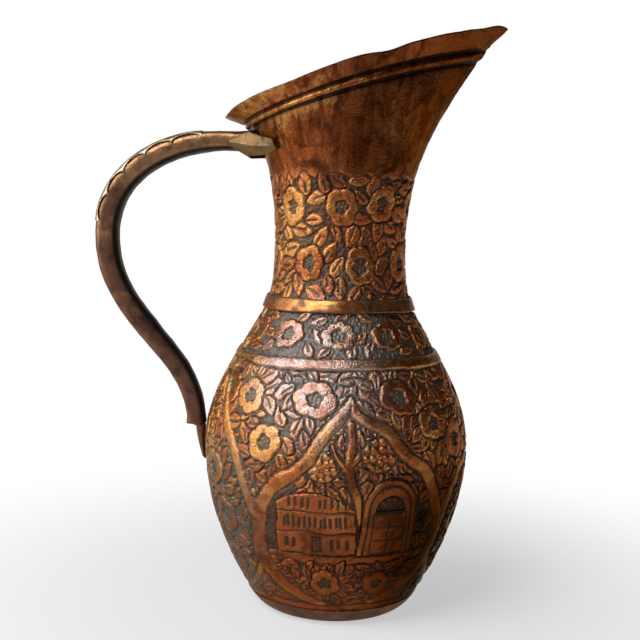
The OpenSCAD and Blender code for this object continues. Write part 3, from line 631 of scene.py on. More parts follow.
def tree_head(field, phi, y, size, seed):
    """A round head of blossom: rings of beads in a sunk disc."""
    draw = np.random.RandomState(seed)
    at, dx, dy = field.near(phi, y, size * FLOWER_REACH)
    rho, theta = np.hypot(dx, dy), np.arctan2(dy, dx)
    edge = size / 2 * (1 + 0.05 * np.sin(9 * theta) + 0.04 * np.sin(3 * theta + seed))
    beads = np.full(rho.shape, FAR)
    for ring, count in BEAD_RINGS:
        for k in range(count):
            a = ROUND * (k + 0.3 * draw.rand()) / count + ring * 5
            r = size / 2 * ring
            wide = lerp(0.85, 1.15, draw.rand()) * BEAD_R
            beads = np.minimum(beads, np.hypot(dx - r * math.cos(a), dy - r * math.sin(a)) / wide)
    field.stamp(at, rho - edge, lerp(-1.1, -0.2, smooth((1.0 - beads) / 0.55)), 0.7, 0.5)
    shade = np.where(rho < edge, 1 - smooth((1.12 - beads) / 0.4), 0.0)
    field.dark[at] = np.maximum(field.dark[at], shade)


def ground_strip(field, turn, left, right, low, high, seed):
    at, away, dx, dy = panel_box(field, turn, left, right, low, high, 1.4, seed)
    field.stamp(at, away, -0.4 - 0.3 * unevenness(seed, dx, dy, 5.0), 0.9, 0.3)


# Two flowers at the front left get a painted highlight: a brighter tone than the rest.
PAINTED_HIGHLIGHT_FLOWERS = {1: 0.9, 15: 0.85}
FRAMES = [FRAME_TURN + 90 * k for k in range(4)]
PLAINER = 3
outlines = [frame_outline(turn) for turn in FRAMES]


def discs(forms):
    return [(p, y, size / 2) for p, y, size in forms]


belly_flowers = []
for n, turn in enumerate(FRAMES):
    jog = 0 if n == 0 else 1
    belly_flowers += [(turn - 17.6, up(116.6 - jog), 21.5), (turn - 38.5 + jog, up(95.2), 20.0),
                      (turn + 21.8 - jog, up(117.6), 20.5),
                      (turn + 38.8, up(115.6 if n == PLAINER else 104.5 + jog), 19.5)]


def open_ground(phi, y):
    turn = (phi - FRAME_TURN + 45) % 360 - 45 + FRAME_TURN
    return not any(inside_outline(edge, turn + way, y) for edge in outlines for way in (-360, 0, 360))


BELLY_TURNS, ALL_ROUND = (-82.0, 278.0), (-90.0, 270.0)
FOOT_Z, WORN_FROM_Z, SPARSE_Z, BELLY_TOP_Z = 12.0, 36.0, 45.0, 129.0
scatter_leaves(belly, discs(belly_flowers), (*BELLY_TURNS, up(SPARSE_Z), up(BELLY_TOP_Z)), open_ground,
               22000, 21)
scatter_leaves(belly, [], (*BELLY_TURNS, up(FOOT_Z), up(SPARSE_Z)), open_ground, 3000, 22, (9.0, 12.0))

TRUNK = [(-1.5, 106.0, 2.0), (-0.5, 98.0, 1.9), (-2.5, 89.0, 2.2), (-1.5, 80.0, 2.4), (1.0, 73.0, 2.2),
         (2.4, 66.0, 1.8), (2.6, 52.0, 1.7), (2.7, 41.0, 1.9)]
TRUNK_TWIGS = [[(-2.5, 84.0, 1.8), (-7.0, 90.0, 1.4), (-9.0, 96.0, 1.0)],
               [(-1.0, 88.0, 1.6), (3.0, 93.0, 1.4), (6.0, 96.0, 1.2)]]
STEM = [(0.0, 12.0, 4.6), (-1.0, 30.0, 3.8), (1.5, 46.0, 3.3), (-1.0, 60.0, 2.8), (0.5, 80.0, 2.0)]
STEM_TWIGS = [[(0.5, z0 - 6.0, 2.0), (p1 / 2, z0, 1.7), (p1, z1, 1.3)] for z0, p1, z1 in
              ((66, -12, 73), (70, 13, 75), (45, -19, 51), (47, 18, 53), (22, -14, 29), (23, 15, 30))]
STEM_FLOWERS = [(0.0, 93.0, 21.0), (-18.0, 75.0, 20.0), (18.5, 77.0, 20.0), (-26.0, 52.0, 20.0),
                (25.0, 54.0, 20.0), (-21.0, 30.0, 18.0), (21.0, 31.0, 18.0)]


def town(n, turn, within):
    """A house and a gate under two heads of blossom, with flowers below."""
    heads = [(turn - 13.0, up(85.5), 15.0), (turn + 10.0, up(91.5), 17.5)]
    scatter_leaves(belly, discs(heads) + [(turn - 1, up(92), 4)], (turn - 22, turn + 36, up(72), up(104)),
                   within, 3000, 40 + n, SMALL_LEAVES)
    branches(belly, [shifted(path, turn) for path in [TRUNK] + TRUNK_TWIGS], 31, 0.4)
    for k, head in enumerate(heads):
        tree_head(belly, *head, 3 + n + k)
    scatter_leaves(belly, [(turn + 37.0, up(62), 1.0)], (turn + 32, turn + 45, up(42), up(78)),
                   within, 600, 44 + n, SMALL_LEAVES)
    ground_strip(belly, turn, -42.0, 42.0, 36.5, 41.5, 51 + n)
    house(belly, turn, 60 + n)
    gate(belly, turn, 67 + n)
    low = [(turn - 12.0, up(25.5), 16.5), (turn + 15.5, up(25.0), 15.5)]
    scatter_leaves(belly, discs(low), (turn - 40, turn + 40, up(FOOT_Z), up(WORN_FROM_Z)),
                   within, 2500, 70 + n, SMALL_LEAVES)
    for k, form in enumerate(low):
        flower(belly, *form, 80 + 5 * n + k)


def flowering_tree(n, turn, within):
    heads = shifted(STEM_FLOWERS, turn)
    clear = discs(heads) + [(p, y, 4.5) for p, y, _ in shifted(STEM, turn)]
    scatter_leaves(belly, clear, (turn - 46, turn + 46, up(FOOT_Z), up(110)), within, 8000, 90 + n)
    branches(belly, [shifted(path, turn) for path in [STEM] + STEM_TWIGS], 33)
    for k, form in enumerate(heads):
        flower(belly, *form, 100 + 10 * n + k)


for n, turn in enumerate(FRAMES):
    picture = flowering_tree if n % 2 else town
    picture(n, turn, lambda phi, y, edge=outlines[n]: inside_outline(edge, phi, y))
for k, form in enumerate(belly_flowers):
    flower(belly, *form, 200 + k, shine=PAINTED_HIGHLIGHT_FLOWERS.get(k))
boughs = []
for n, turn in enumerate(FRAMES):
    right, foot = RIGHT_BRANCH, RIGHT_BRANCH[-1:] + RIGHT_FOOT
    if n == PLAINER:
        right, foot = FAR_RIGHT_BRANCH, [(p, z, half * 0.55) for p, z, half in RIGHT_FOOT]
    boughs += [shifted(path, turn) for path in (right, foot, LEFT_BRANCH)]
branches(belly, boughs, 41)

# Shoulder: the raised band, which dips a little at the front, and a row of flowers above it.
SHOULDER_FLOWERS, SHOULDER_Z, SHOULDER_HALF = 11, 145.2, 8.7
shoulder_turns = [0.6 + 360.0 / SHOULDER_FLOWERS * k for k in range(SHOULDER_FLOWERS)]
shoulder_turns[-1] -= 1.4
shoulder_discs = [(turn, up(SHOULDER_Z), SHOULDER_HALF) for turn in shoulder_turns]
scatter_leaves(belly, shoulder_discs, (*ALL_ROUND, up(137.5), up(155)), anywhere, 2500, 24, (9.5, 12.0),
               apart=1.7, least=0.85)
for k, (phi, y, half) in enumerate(shoulder_discs):
    flower(belly, phi, y, 2 * half, 300 + k, petals=7 if k % 3 else 8)

BAND_HALF = BAND_W / 2
band_mid = up(BAND_Z) + 0.5 * np.sin(np.radians(3 * belly_phi + 40)) \
    + 0.9 * (1 - np.cos(np.radians(belly_phi - 10)))
off_band = belly.y - band_mid[None, :]
ragged = 0.7 * (belly.grain(27, 60, math.inf) - 0.5)
band_lumps = belly.grain(28, 70, 4.0)
band_pits = smooth(0.5 - belly.grain(29, 180, 1.7, dimples) / 0.14)
band_worn = 1.6 * bump(signed_turn(belly_phi + 64.0), 0, 15.0)[None, :]
belly.stamp(belly.all, np.abs(off_band) - BAND_HALF + 0.35 + ragged + band_worn,
            -0.05 - 0.3 * np.abs(off_band / BAND_HALF) ** 4 - 0.45 * band_lumps - 0.3 * band_pits,
            0.9, 0.25 + 0.6 * band_lumps)

# A plain strip runs along the foot, which is worn: its forms are soft.
foot_strip = belly.y - up(FOOT_Z) - 0.6 * np.sin(np.radians(5 * belly_phi))[None, :]
belly.stamp(belly.all, foot_strip, -0.35, 1.0, 0.15)
roughen(belly, 288)
weather(belly, 4)
foot_wear = 0.55 * smooth((up(WORN_FROM_Z) - belly.y) / (up(WORN_FROM_Z) - up(16)))
for values in (belly.h, belly.raised):
    values += foot_wear * (blur(values, 3, 3) - values)


def wall_points(w, phi, depth):
    """Points of the belly's wall: lengths along the curve, turns from the front, and heights over the wall."""
    r, z, out_r, out_z = (v[:, None] for v in wall_at(w))
    turn = np.radians(phi)[None, :]
    r = r + out_r * depth
    return np.stack([r * np.sin(turn), -r * np.cos(turn), z + out_z * depth + 0 * turn], -1)


# The band stands proud of the wall in the solid too, so its relief may rise with it.
BAND_PROUD, DEPTH_HALF = 0.9, 68.0
lift = BAND_PROUD * np.clip(1 - (off_band / (BAND_HALF + 0.2)) ** 4, 0, 1) ** 0.5
lift *= np.clip(1 - ((belly.y - up(BAND_Z)) / BAND_HALF) ** 2, 0, 1) ** 0.5
lift *= 0.25 + 0.75 * smooth(np.abs(np.cos(np.radians(belly_phi - 10))) / 0.7)[None, :]
belly_outer = wall_points(belly_w, belly_phi, belly.h + lift)
belly_outer[..., 1] = np.clip(belly_outer[..., 1], -DEPTH_HALF, DEPTH_HALF)


# Neck: round at the seam, drawn out into a tilted rim with a pointed spout.
# Along v: 0 to 1 seam to waist, 1 to 2 flare, 2 to 3 rib, 3 to 4 flange.

NECK_LOW = [[JOINT_R, JOINT_Z + SEAM_GAP], [JOINT_R - UP_OUT * 0.4, JOINT_Z + UP_DROP * 0.4],
            [WAIST_R, (JOINT_Z + WAIST_Z) / 2], [WAIST_R, WAIST_Z]]
RIB_FRONT = np.array([WAIST_R + 33.2, WAIST_Z + 89.2])
RIB_BACK = np.array([-WAIST_R - 11.4, WAIST_Z + 54.2])
FLANGE_FRONT, FLANGE_BACK = RIB_FRONT + [6.4, 9.0], RIB_BACK + [-6.0, 2.6]
TIP, RIM_BACK = FLANGE_FRONT + [9.2, 11.6], FLANGE_BACK + [-9.0, 4.2]
FLARE_FRONT = [[WAIST_R, WAIST_Z], [WAIST_R, WAIST_Z + 33.0], RIB_FRONT - [21.3, 31.2], RIB_FRONT]
FLARE_BACK = [[-WAIST_R, WAIST_Z], [-WAIST_R, WAIST_Z + 22.0], RIB_BACK - [-8.0, 16.2], RIB_BACK]
RIB_SIDE = WAIST_R + SIDE_REACH
FLANGE_SIDE = RIB_SIDE + RIB_SIDE_OUT
RIM_SIDE = FLANGE_SIDE + FLANGE_SIDE_OUT
LOW_GROOVE, HIGH_GROOVE, RIB_MID = 2.16, 2.86, 2.52


def pick(v, *stages):
    """One of four values for each v, by the stage of the neck that v lies in."""
    stage = np.clip(np.floor(v - TINY), 0, 3).astype(int)
    stage = stage[..., None] if stages[0].ndim > v.ndim else stage
    return np.select([stage == k for k in range(4)], stages)


def neck_point(turn, v):
    """Points of the neck's outer face. turn is in degrees from the spout."""
    turn, v = np.broadcast_arrays(np.asarray(turn, float), np.asarray(v, float))
    low = bez(NECK_LOW, v)
    share = v - np.floor(v - TINY)
    step = share[..., None]
    front = pick(v, low, bez(FLARE_FRONT, v - 1), lerp(RIB_FRONT, FLANGE_FRONT, step),
                 lerp(FLANGE_FRONT, TIP, step))
    back = pick(v, low * [-1, 1], bez(FLARE_BACK, v - 1), lerp(RIB_BACK, FLANGE_BACK, step),
                lerp(FLANGE_BACK, RIM_BACK, step))
    side = pick(v, low[..., 0], WAIST_R + SIDE_REACH * (v - 1) ** 2, lerp(RIB_SIDE, FLANGE_SIDE, share),
                lerp(FLANGE_SIDE, RIM_SIDE, share))
    flare = np.maximum(v - 1, 0) / 3
    e = 0.5 * (1 + SPOUT_SHARP * np.minimum(flare * 3, 1) ** 1.6)
    u = np.cos(np.radians(turn))
    widest = (0.5 - e) / (0.5 + e)
    plan = np.maximum(1 - u, 0) ** e * np.maximum(1 + u, 0) ** 0.5 / ((1 - widest) ** e * (1 + widest) ** 0.5)
    mid, half = (front + back) / 2, (front - back) / 2
    return np.stack([mid[..., 0] + half[..., 0] * u,
                     np.sign(np.sin(np.radians(turn))) * side * plan,
                     mid[..., 1] + half[..., 1] * u + RIM_ARCH * flare * (1 - u * u)], -1)


def neck_out(turn, v):
    across = neck_point(turn + 1.0, v) - neck_point(turn - 1.0, v)
    upward = neck_point(turn, np.minimum(v + NUDGE, 4.0)) - neck_point(turn, np.maximum(v - NUDGE, 0.0))
    return unit(np.cross(across, upward))


def rib_swell(v, turn):
    """Height of the narrow rib between its two grooves. It dies away towards the spout's point."""
    grooves = bump(v, LOW_GROOVE, 0.15) + 0.9 * bump(v, HIGH_GROOVE, 0.12)
    rib = (RIB_PROUD - GROOVE_DEEP) * bump(v, RIB_MID, 0.24, 4)
    at_point = smooth((np.cos(np.radians(turn)) - 0.80) / 0.2)
    return rib * (1 - 0.85 * at_point) - 1.6 * grooves * (1 - 0.6 * at_point)


NECK_COLS, FLORAL_ROWS = 520, 168
FLORAL_END, FLORAL_Z, PLAIN_FLOOR = 231.0, 219.5, -0.9
v_fine = np.linspace(0, 2, 800)
z_fine = neck_point(np.full(800, 270.0), v_fine)[:, 2]
floral_v = np.interp(np.linspace(z_fine[0], FLORAL_END, FLORAL_ROWS + 1), z_fine, v_fine)
RIM_STAGES = [(float(np.interp(FLORAL_END, z_fine, v_fine)), 2 - GROOVE_HALF, 60), (2 - GROOVE_HALF, 2, 5),
              (2, 3, 26), (3, 3 + GROOVE_HALF, 5)]
rim_v = [np.linspace(*stage, endpoint=False) for stage in RIM_STAGES] + [np.linspace(3 + GROOVE_HALF, 4, 25)]
neck_v = np.concatenate([floral_v[:-1], *rim_v])
neck_turn = 360.0 * np.arange(NECK_COLS) / NECK_COLS
neck_base = neck_point(neck_turn[None, :], neck_v[:, None])
neck_normal = neck_out(neck_turn[None, :], neck_v[:, None])
neck_radius = np.hypot(*neck_base[:, NECK_COLS * 3 // 4, :2].T)
neck = Relief((neck_turn + 90.0) % 360.0, neck_base[..., 2], neck_radius, 31)

edge_line = FLORAL_Z + 4.0 * (neck.grain(61, 40, math.inf) - 0.5)
neck.stamp(neck.all, edge_line - neck.y, -0.2, 2.4, 0.24)
neck.dark *= 0.4
UPPER_Z, UPPER_HALF, LOWER_Z, LOWER_HALF = 206.5, 9.3, 178.5, 9.2
UPPER_ROW = [(-45, 0), (0, 0), (35.5, 2), (76, 1), (116, 0), (155, 1), (195, 0), (236, 1), (276, 0)]
LOWER_ROW = [(-27, 0.5), (17.7, -0.5), (62, 1), (107, 0), (152, 0), (197, 1), (242, 0), (287, 0)]
neck_discs = [(p, UPPER_Z + dz, UPPER_HALF) for p, dz in UPPER_ROW]
neck_discs += [(p, LOWER_Z + dz, LOWER_HALF) for p, dz in LOWER_ROW]
scatter_leaves(neck, neck_discs, (*ALL_ROUND, 161.5, FLORAL_Z), anywhere, 12000, 25, (11.0, 14.5),
               apart=1.25, least=0.6)
for k, (phi, z, half) in enumerate(neck_discs):
    flower(neck, phi, z, 2 * half, 400 + k, tall=1.08)
roughen(neck, 144)
weather(neck, 5)

# Hammer marks on the plain neck, long in height, and a rim that isn't quite true.
plain = smooth((neck.y - edge_line) / 6.0)
tall_marks, small_marks = neck.grain(71, 34, 17.0, dimples), neck.grain(72, 40, 6.5, dimples)
ridges = 1 - np.abs(2 * neck.grain(75, 44, 34.0) - 1)
hammered = 0.45 * (0.6 - tall_marks).clip(0) + 0.2 * (0.7 - small_marks).clip(0)
neck.h -= plain * (hammered + 0.32 * (1 - ridges ** 3))
pitted, scratched = 0.2 * neck.grain(76, 130, 1.9), 0.16 * neck.grain(77, 230, 6.0)
neck.h -= plain * (pitted + scratched - 0.1)
neck.tone += plain * (0.35 * ridges ** 4 - 0.05 + 1.2 * (0.18 - pitted - 0.5 * scratched))
waves = 1.5 * neck.grain(73, 14, math.inf) + 0.7 * neck.grain(74, 33, math.inf)
dent = 1.4 * bump(signed_turn(neck.phi - 8.0), 0, 7.0)[None, :]
from_point = np.abs(signed_turn(neck_turn))[None, :]
point_drop = 1.1 * bump(from_point, 0, 8.0) - 1.0 * bump(from_point, 24.0, 11.0)
rim_drop = smooth(neck_v - 3.0)[:, None] * (waves + dent + point_drop)
# Painted shade: the two grooves under the flange and below the rib are darkened as if in shadow.
groove_shade = bump(neck_v, LOW_GROOVE, 0.14) + bump(neck_v, HIGH_GROOVE, 0.11)
neck.dark = np.maximum(neck.dark, np.minimum(groove_shade, 1.0)[:, None])
on_rib = bump(neck_v, RIB_MID, 0.18, 4) + bump(neck_v, 1.97, 0.05)
on_edge = smooth((neck_v - 3.86) / 0.1)
# Painted light on the rim's left side, strongest at the front left towards the light: a brighter tone there.
painted_light_on_rim = smooth((np.cos(np.radians(neck_turn - 210.0)) - 0.2) / 0.7)[None, :]
rim_side = smooth((neck_v - 1.95) / 0.1)[:, None]
neck.tone += (0.35 * on_rib + 0.25 * on_edge)[:, None] + 0.35 * painted_light_on_rim * rim_side
edge_round = -0.38 * smooth((neck_v - 3.955) / 0.045)[:, None]
neck_swell = rib_swell(neck_v[:, None], neck_turn[None, :])
neck.h = np.where(plain > 0.3, np.maximum(neck.h, PLAIN_FLOOR), neck.h)
neck_outer = neck_base + (neck.h + neck_swell + edge_round)[..., None] * neck_normal
neck_outer[..., 2] -= rim_drop


# Handle: a flattened tube on two curves, cut at its upper end to the slope of the neck.

SEAT_V = 0.878
GRIP_REACH, BEND_DROP = 52.0, 47.5
TOP_RUN, TOP_LIFT, BEND_UP, BEND_DOWN = 40.0, 6.5, 35.0, 46.0
END_Z, END_RUN = BELLY_Z + 8.0, 40.0
seat = neck_point(180.0, 1 + SEAT_V)
seat_face = neck_out(180.0, 1 + SEAT_V)[[0, 2]]
grip_start = seat[[0, 2]] + 2 * SEAT_GAP * seat_face
bend = np.array([-BELLY_R - GRIP_REACH, grip_start[1] - BEND_DROP])
grip_end = np.array([-belly_at(END_Z) - SEAT_GAP - END_T / 2, END_Z])
UPPER_GRIP = [grip_start, grip_start + [-TOP_RUN, TOP_LIFT], bend + [0, BEND_UP], bend]
LOWER_GRIP = [bend, bend - [0, BEND_DOWN], grip_end + [0, END_RUN], grip_end]


def grip_at(s):
    s = np.asarray(s, float)
    upper, lower = bez(UPPER_GRIP, np.minimum(2 * s, 1)), bez(LOWER_GRIP, np.maximum(2 * s - 1, 0))
    return np.where((s <= 0.5)[..., None], upper, lower)


def grip_run(s):
    return unit(grip_at(np.minimum(s + NUDGE, 1)) - grip_at(np.maximum(s - NUDGE, 0)))


def grip_side(s):
    run = grip_run(s)
    return np.stack([run[..., 1], -run[..., 0]], -1)


def half_t(s):
    return lerp(np.where(s < 0.5, SEAT_T, END_T), GRIP_T, np.sin(np.pi * s)) / 2


def half_w(s):
    return lerp(GRIP_W, END_W, s) / 2


def grip_skin(s, turn, off):
    """Points of the handle's section, moved out by off. s runs along the handle, turn round it in degrees."""
    s, turn, off = np.broadcast_arrays(np.asarray(s, float), np.asarray(turn, float), np.asarray(off, float))
    a = np.radians(turn)
    flat = grip_at(s) + ((half_t(s) + off) * signed_power(np.cos(a), GRIP_SQUARE))[..., None] * grip_side(s)
    return np.stack([flat[..., 0], (half_w(s) + off) * signed_power(np.sin(a), GRIP_SQUARE), flat[..., 1]], -1)


def tube_rings(s, turn, wall, depth=0.0):
    points = grip_skin(s[:, None], turn[None, :], depth - wall)
    if s[0] == 0:
        over = (half_t(0.0) - wall) * signed_power(np.cos(np.radians(turn)), GRIP_SQUARE)
        side, run = grip_side(0.0), grip_run(0.0)
        along = -over * np.dot(seat_face, side) / np.dot(seat_face, run)
        points[0] += along[:, None] * np.array([run[0], 0, run[1]])
    return points


# Materials. The marks of a piece give what is raised, what is dark, with painted shade in places, and how
# bright it is, from wear and in places painted light.

def plug(node, inputs):
    """Gives a node's inputs, by their names or numbers, values or what comes from other nodes."""
    for key, value in inputs.items():
        if isinstance(value, Value):
            value.tree.links.new(value.socket, node.inputs[key])
        else:
            node.inputs[key].default_value = value


def add(tree, kind, inputs=None, **settings):
    node = tree.nodes.new(kind)
    for key, value in settings.items():
        setattr(node, key, value)
    plug(node, inputs or {})
    return node


MIX_A, MIX_B, MIXED = 6, 7, 2


class Value:
    """What comes out of a shader's node. Sums, products, ramps and mixes of it are nodes of their own."""

    def __init__(self, node, output=0):
        self.tree, self.socket = node.id_data, node.outputs[output]

    def join(self, operation, a, b):
        return Value(add(self.tree, "ShaderNodeMath", {0: a, 1: b}, operation=operation))

    def __add__(self, other):
        return self.join("ADD", self, other)

    def __sub__(self, other):
        return self.join("SUBTRACT", self, other)

    def __rsub__(self, other):
        return self.join("SUBTRACT", other, self)

    def __mul__(self, other):
        return self.join("MULTIPLY", self, other)

    def __or__(self, other):
        """The larger of the two."""
        return self.join("MAXIMUM", self, other)

    def held(self):
        """A sum or product, kept between 0 and 1."""
        self.socket.node.use_clamp = True
        return self

    def ramp(self, low, high, to_low=0.0, to_high=1.0):
        return Value(add(self.tree, "ShaderNodeMapRange", {
            "Value": self, "From Min": low, "From Max": high, "To Min": to_low, "To Max": to_high},
            interpolation_type="SMOOTHSTEP"), "Result")

    def mix(self, a, b, blend="MIX"):
        """Colour a where this is 0 and b where it is 1."""
        return Value(add(self.tree, "ShaderNodeMix", {0: self, MIX_A: a, MIX_B: b},
                         data_type="RGBA", blend_type=blend), MIXED)

    def noise(self, scale, detail=3.0, rough=0.55, distort=0.0):
        return Value(add(self.tree, "ShaderNodeTexNoise", {
            "Vector": self, "Scale": scale, "Detail": detail, "Roughness": rough,
            "Distortion": distort}), "Fac")

    def vector(self, operation, other, output=0):
        return Value(add(self.tree, "ShaderNodeVectorMath", {0: self, 1: other}, operation=operation), output)

    def parts(self, kind="ShaderNodeSeparateXYZ"):
        node = add(self.tree, kind, {0: self})
        return [Value(node, k) for k in range(3)]


def coordinates(tree, kind="Object"):
    return Value(add(tree, "ShaderNodeTexCoord"), kind)


GROUP_INPUTS = {"Coords": "Vector", "Low": "Float", "Tone": "Float", "Bright": "Color", "Brown": "Color",
                "Deep": "Color", "Dark": "Color", "Smooth": "Float"}
GROUP_OUTPUTS = {"Color": "Color", "Roughness": "Float", "Metallic": "Float", "Height": "Float"}


def make_tarnish():
    """Hand-worked copper gone brown: cloudy colour, dark low places and fine pits."""
    group = bpy.data.node_groups.new("tarnish", "ShaderNodeTree")
    for way, sockets in (("INPUT", GROUP_INPUTS), ("OUTPUT", GROUP_OUTPUTS)):
        for label, kind in sockets.items():
            group.interface.new_socket(label, in_out=way, socket_type="NodeSocket" + kind)
    inlet = group.nodes.new("NodeGroupInput")
    given = {label: Value(inlet, label) for label in GROUP_INPUTS}
    coords = given["Coords"]
    clouds, blotch = coords.noise(48.0, 4.0, 0.6, 0.6), coords.noise(190.0, 4.0, 0.65, 0.3)
    patches, specks = coords.noise(70.0, 5.0, 0.65, 0.9), coords.noise(900.0, 3.0, 0.6)
    grain = coords.noise(2600.0, 2.0, 0.5)
    toned = (clouds * 0.55 + blotch * 0.45) * 1.6 - 0.3 + given["Tone"] * 0.44
    brown = patches.ramp(0.46, 0.64).mix(given["Brown"], given["Deep"])
    metal = toned.ramp(0.60, 0.92).mix(brown, given["Bright"])
    low = (given["Low"] + specks.ramp(0.60, 0.70) * 0.4).held()
    shade = low * blotch.ramp(0.2, 0.6, 0.86, 1.0)
    plug(group.nodes.new("NodeGroupOutput"), {
        "Color": shade.mix(metal, given["Dark"]),
        "Roughness": (given["Smooth"] + blotch * 0.2 + low * 0.2).held(),
        "Metallic": (1.0 - low * 0.45).held(),
        "Height": specks + blotch * 0.8 + grain * 0.35})
    return group


tarnish = make_tarnish()

EDGE_TINT, EDGE_LEVEL = (0.60, 0.52, 0.43, 1), 0.2
WAX, WAX_ROUGHNESS, GRAIN_DEPTH = 0.15, 0.3, 0.0006


def copper(name, colors, smoothness, marks_from, strength=0.25):
    """A tarnished copper finish. marks_from gives its dark places, tone, tints and gloss."""
    material = bpy.data.materials.new(name)
    material.use_nodes = True
    tree = material.node_tree
    place = coordinates(tree)
    low, tone, tints, gloss = marks_from(tree, place)
    bright, brown, deep, dark = colors
    finish = add(tree, "ShaderNodeGroup", node_tree=tarnish)
    plug(finish, {"Coords": place, "Low": low, "Tone": tone, "Bright": bright, "Brown": brown, "Deep": deep,
                  "Dark": dark, "Smooth": smoothness})
    color = Value(finish, "Color")
    for share, tint, blend in tints:
        color = share.mix(color, tint, blend)
    relief = add(tree, "ShaderNodeBump", {
        "Strength": strength, "Distance": GRAIN_DEPTH, "Height": Value(finish, "Height")})
    plug(tree.nodes["Principled BSDF"], {
        "Base Color": color, "Roughness": Value(finish, "Roughness"), "Metallic": Value(finish, "Metallic"),
        "Normal": Value(relief, "Normal"), "Coat Weight": gloss, "Coat Roughness": WAX_ROUGHNESS,
        "Specular IOR Level": EDGE_LEVEL, "Specular Tint": EDGE_TINT})
    return material


def read_marks(tree):
    """What is raised, what is dark, how bright it is, and 1 for outside."""
    marks = add(tree, "ShaderNodeAttribute", attribute_name="marks")
    return Value(marks, "Color").parts("ShaderNodeSeparateColor") + [Value(marks, "Alpha")]


# The middle of the painted sheen on the shoulder, and the stretch of the neck's streaks.
PAINTED_SHEEN_AT, STREAK_SCALE = (-0.011, -0.056, 0.131), (1.0, 1.0, 0.22)
# Tints: brown for the neck's streaks and for painted shade, and a deeper painted shade.
BROWN_AND_SHADE_TINT, PAINTED_SHADE_TINT = (0.44, 0.33, 0.23, 1), (0.20, 0.21, 0.14, 1)
# Grey dust made paler by painted light, a pale painted sheen, and a grey-green bloom.
DUST_AND_SHEEN_GREY, PAINTED_SHEEN_TINT, BLOOM = (0.16, 0.165, 0.14, 1), (0.50, 0.42, 0.39, 1), (0.10, 0.115, 0.092, 1)


def wall_marks(tree, place):
    """Low places of a chased wall, and how its colour changes round the jug.

    The plain neck has brown streaks. Painted shade darkens the foot, the spout's side, the right of the neck
    and rim and the place under the clasp leaf. Painted light brightens the left side and the left of the
    flange, a painted sheen lies pale on the front of the shoulder with paler grey dust round it, and a
    grey-green bloom lies low on the handle's side."""
    raised, dark, tone, outside = read_marks(tree)
    low = raised.ramp(0.0, 0.45, 0.8, 0.0) | dark * 0.92 | (1.0 - outside) * 0.7
    x, y, z = place.parts()
    upper, shoulder = z.ramp(0.219, 0.228), z.ramp(0.150, 0.172)
    # Brown streaks on the plain neck, and painted shade: the right of the neck and rim, the spout's side and
    # the belly towards the foot are made browner and darker, as if out of the light.
    streaks_and_right_shade = place.vector("MULTIPLY", STREAK_SCALE).noise(190.0, 4.0, 0.65, 0.6).ramp(0.36, 0.62, 1.0, 0.12)
    streaks_and_right_shade = (streaks_and_right_shade | x.ramp(0.02, 0.06)) * x.ramp(-0.055, -0.036, 0.45, 0.95)
    spout_side_shade = x.ramp(-0.012, 0.060) * z.ramp(0.105, 0.060)
    brown_streaks_and_shade = (spout_side_shade * 0.66 + z.ramp(0.090, 0.025) * 0.68).held() | upper * streaks_and_right_shade
    # Painted light: the left of the neck's flowers and the left of the belly get a brighter tone, as if lit
    # from the left.
    painted_light_left = x.ramp(0.020, -0.030) * shoulder | x.ramp(-0.012, -0.042) * z.ramp(0.075, 0.100)
    # Painted highlight on the left of the flange: a brighter tone there.
    flange = x.ramp(0.004, -0.034) * z.ramp(0.248, 0.256, 0.0, 0.4) * upper
    # Painted shade on the right of the neck's flowers: a duller, more red-brown tone.
    shade_right_of_neck = x.ramp(-0.012, 0.016) * shoulder
    tone = (tone - brown_streaks_and_shade * 0.42).held()
    tone = (tone + painted_light_left * (1.0 - upper) * 0.22).held()
    tone = (tone + flange).held()
    tone = (tone - shade_right_of_neck * 0.3).held()
    # Painted shade: the upper right of the neck and rim and the lower right of the belly are darkened, and a
    # painted shadow lies under the clasp leaf. There is less coat in this shade too.
    shaded = z.ramp(0.290, 0.268, 0.3, 0.6) * x.ramp(-0.030, 0.030) * upper
    shadow_under_clasp = x.ramp(-0.050, -0.030) * x.ramp(-0.004, -0.022, 0.0, 0.4) * z.ramp(0.254, 0.246) * upper
    painted_shade = z.ramp(0.105, 0.055) * x.ramp(0.002, 0.046) | shaded | shadow_under_clasp
    away = place.vector("DISTANCE", PAINTED_SHEEN_AT, "Value")
    # Round the painted sheen the ground is painted paler grey: grey dust, lit by painted light.
    dust_and_sheen = away.ramp(0.072, 0.020, 0.0, 0.75) * low
    patchy = place.noise(150.0, 4.0, 0.6).ramp(0.34, 0.58, 0.35, 1.0)
    # A painted sheen: a pale pink reflection of the light on the front left of the shoulder, broken in patches,
    # with more coat there.
    painted_sheen = away.ramp(0.048, 0.012) * patchy * (1.0 - low).held()
    stain = x.ramp(-0.020, -0.054) * z.ramp(0.112, 0.066) * y.ramp(0.034, -0.022)
    ragged = stain + (place.noise(60.0, 5.0, 0.62) - 0.5) * 1.6
    bloom = ragged.ramp(0.05, 0.95) * stain.ramp(0.0, 0.4) * low.ramp(0.0, 0.8, 0.42, 0.85)
    tints = [(brown_streaks_and_shade, BROWN_AND_SHADE_TINT, "MULTIPLY"), (painted_shade, PAINTED_SHADE_TINT, "MULTIPLY"), (dust_and_sheen, DUST_AND_SHEEN_GREY, "MIX"),
             (painted_sheen * 0.75, PAINTED_SHEEN_TINT, "MIX"), (bloom, BLOOM, "MIX")]
    return low, tone, tints, (painted_sheen * 0.5 + 0.1 - painted_shade * 0.2).held()


def plain_marks(tree, place):
    """Dark places from the piece's marks, and a few more in clouds."""
    _, dark, tone, _ = read_marks(tree)
    return dark | place.noise(120.0).ramp(0.52, 0.74, 0.0, 0.55), tone, [], WAX


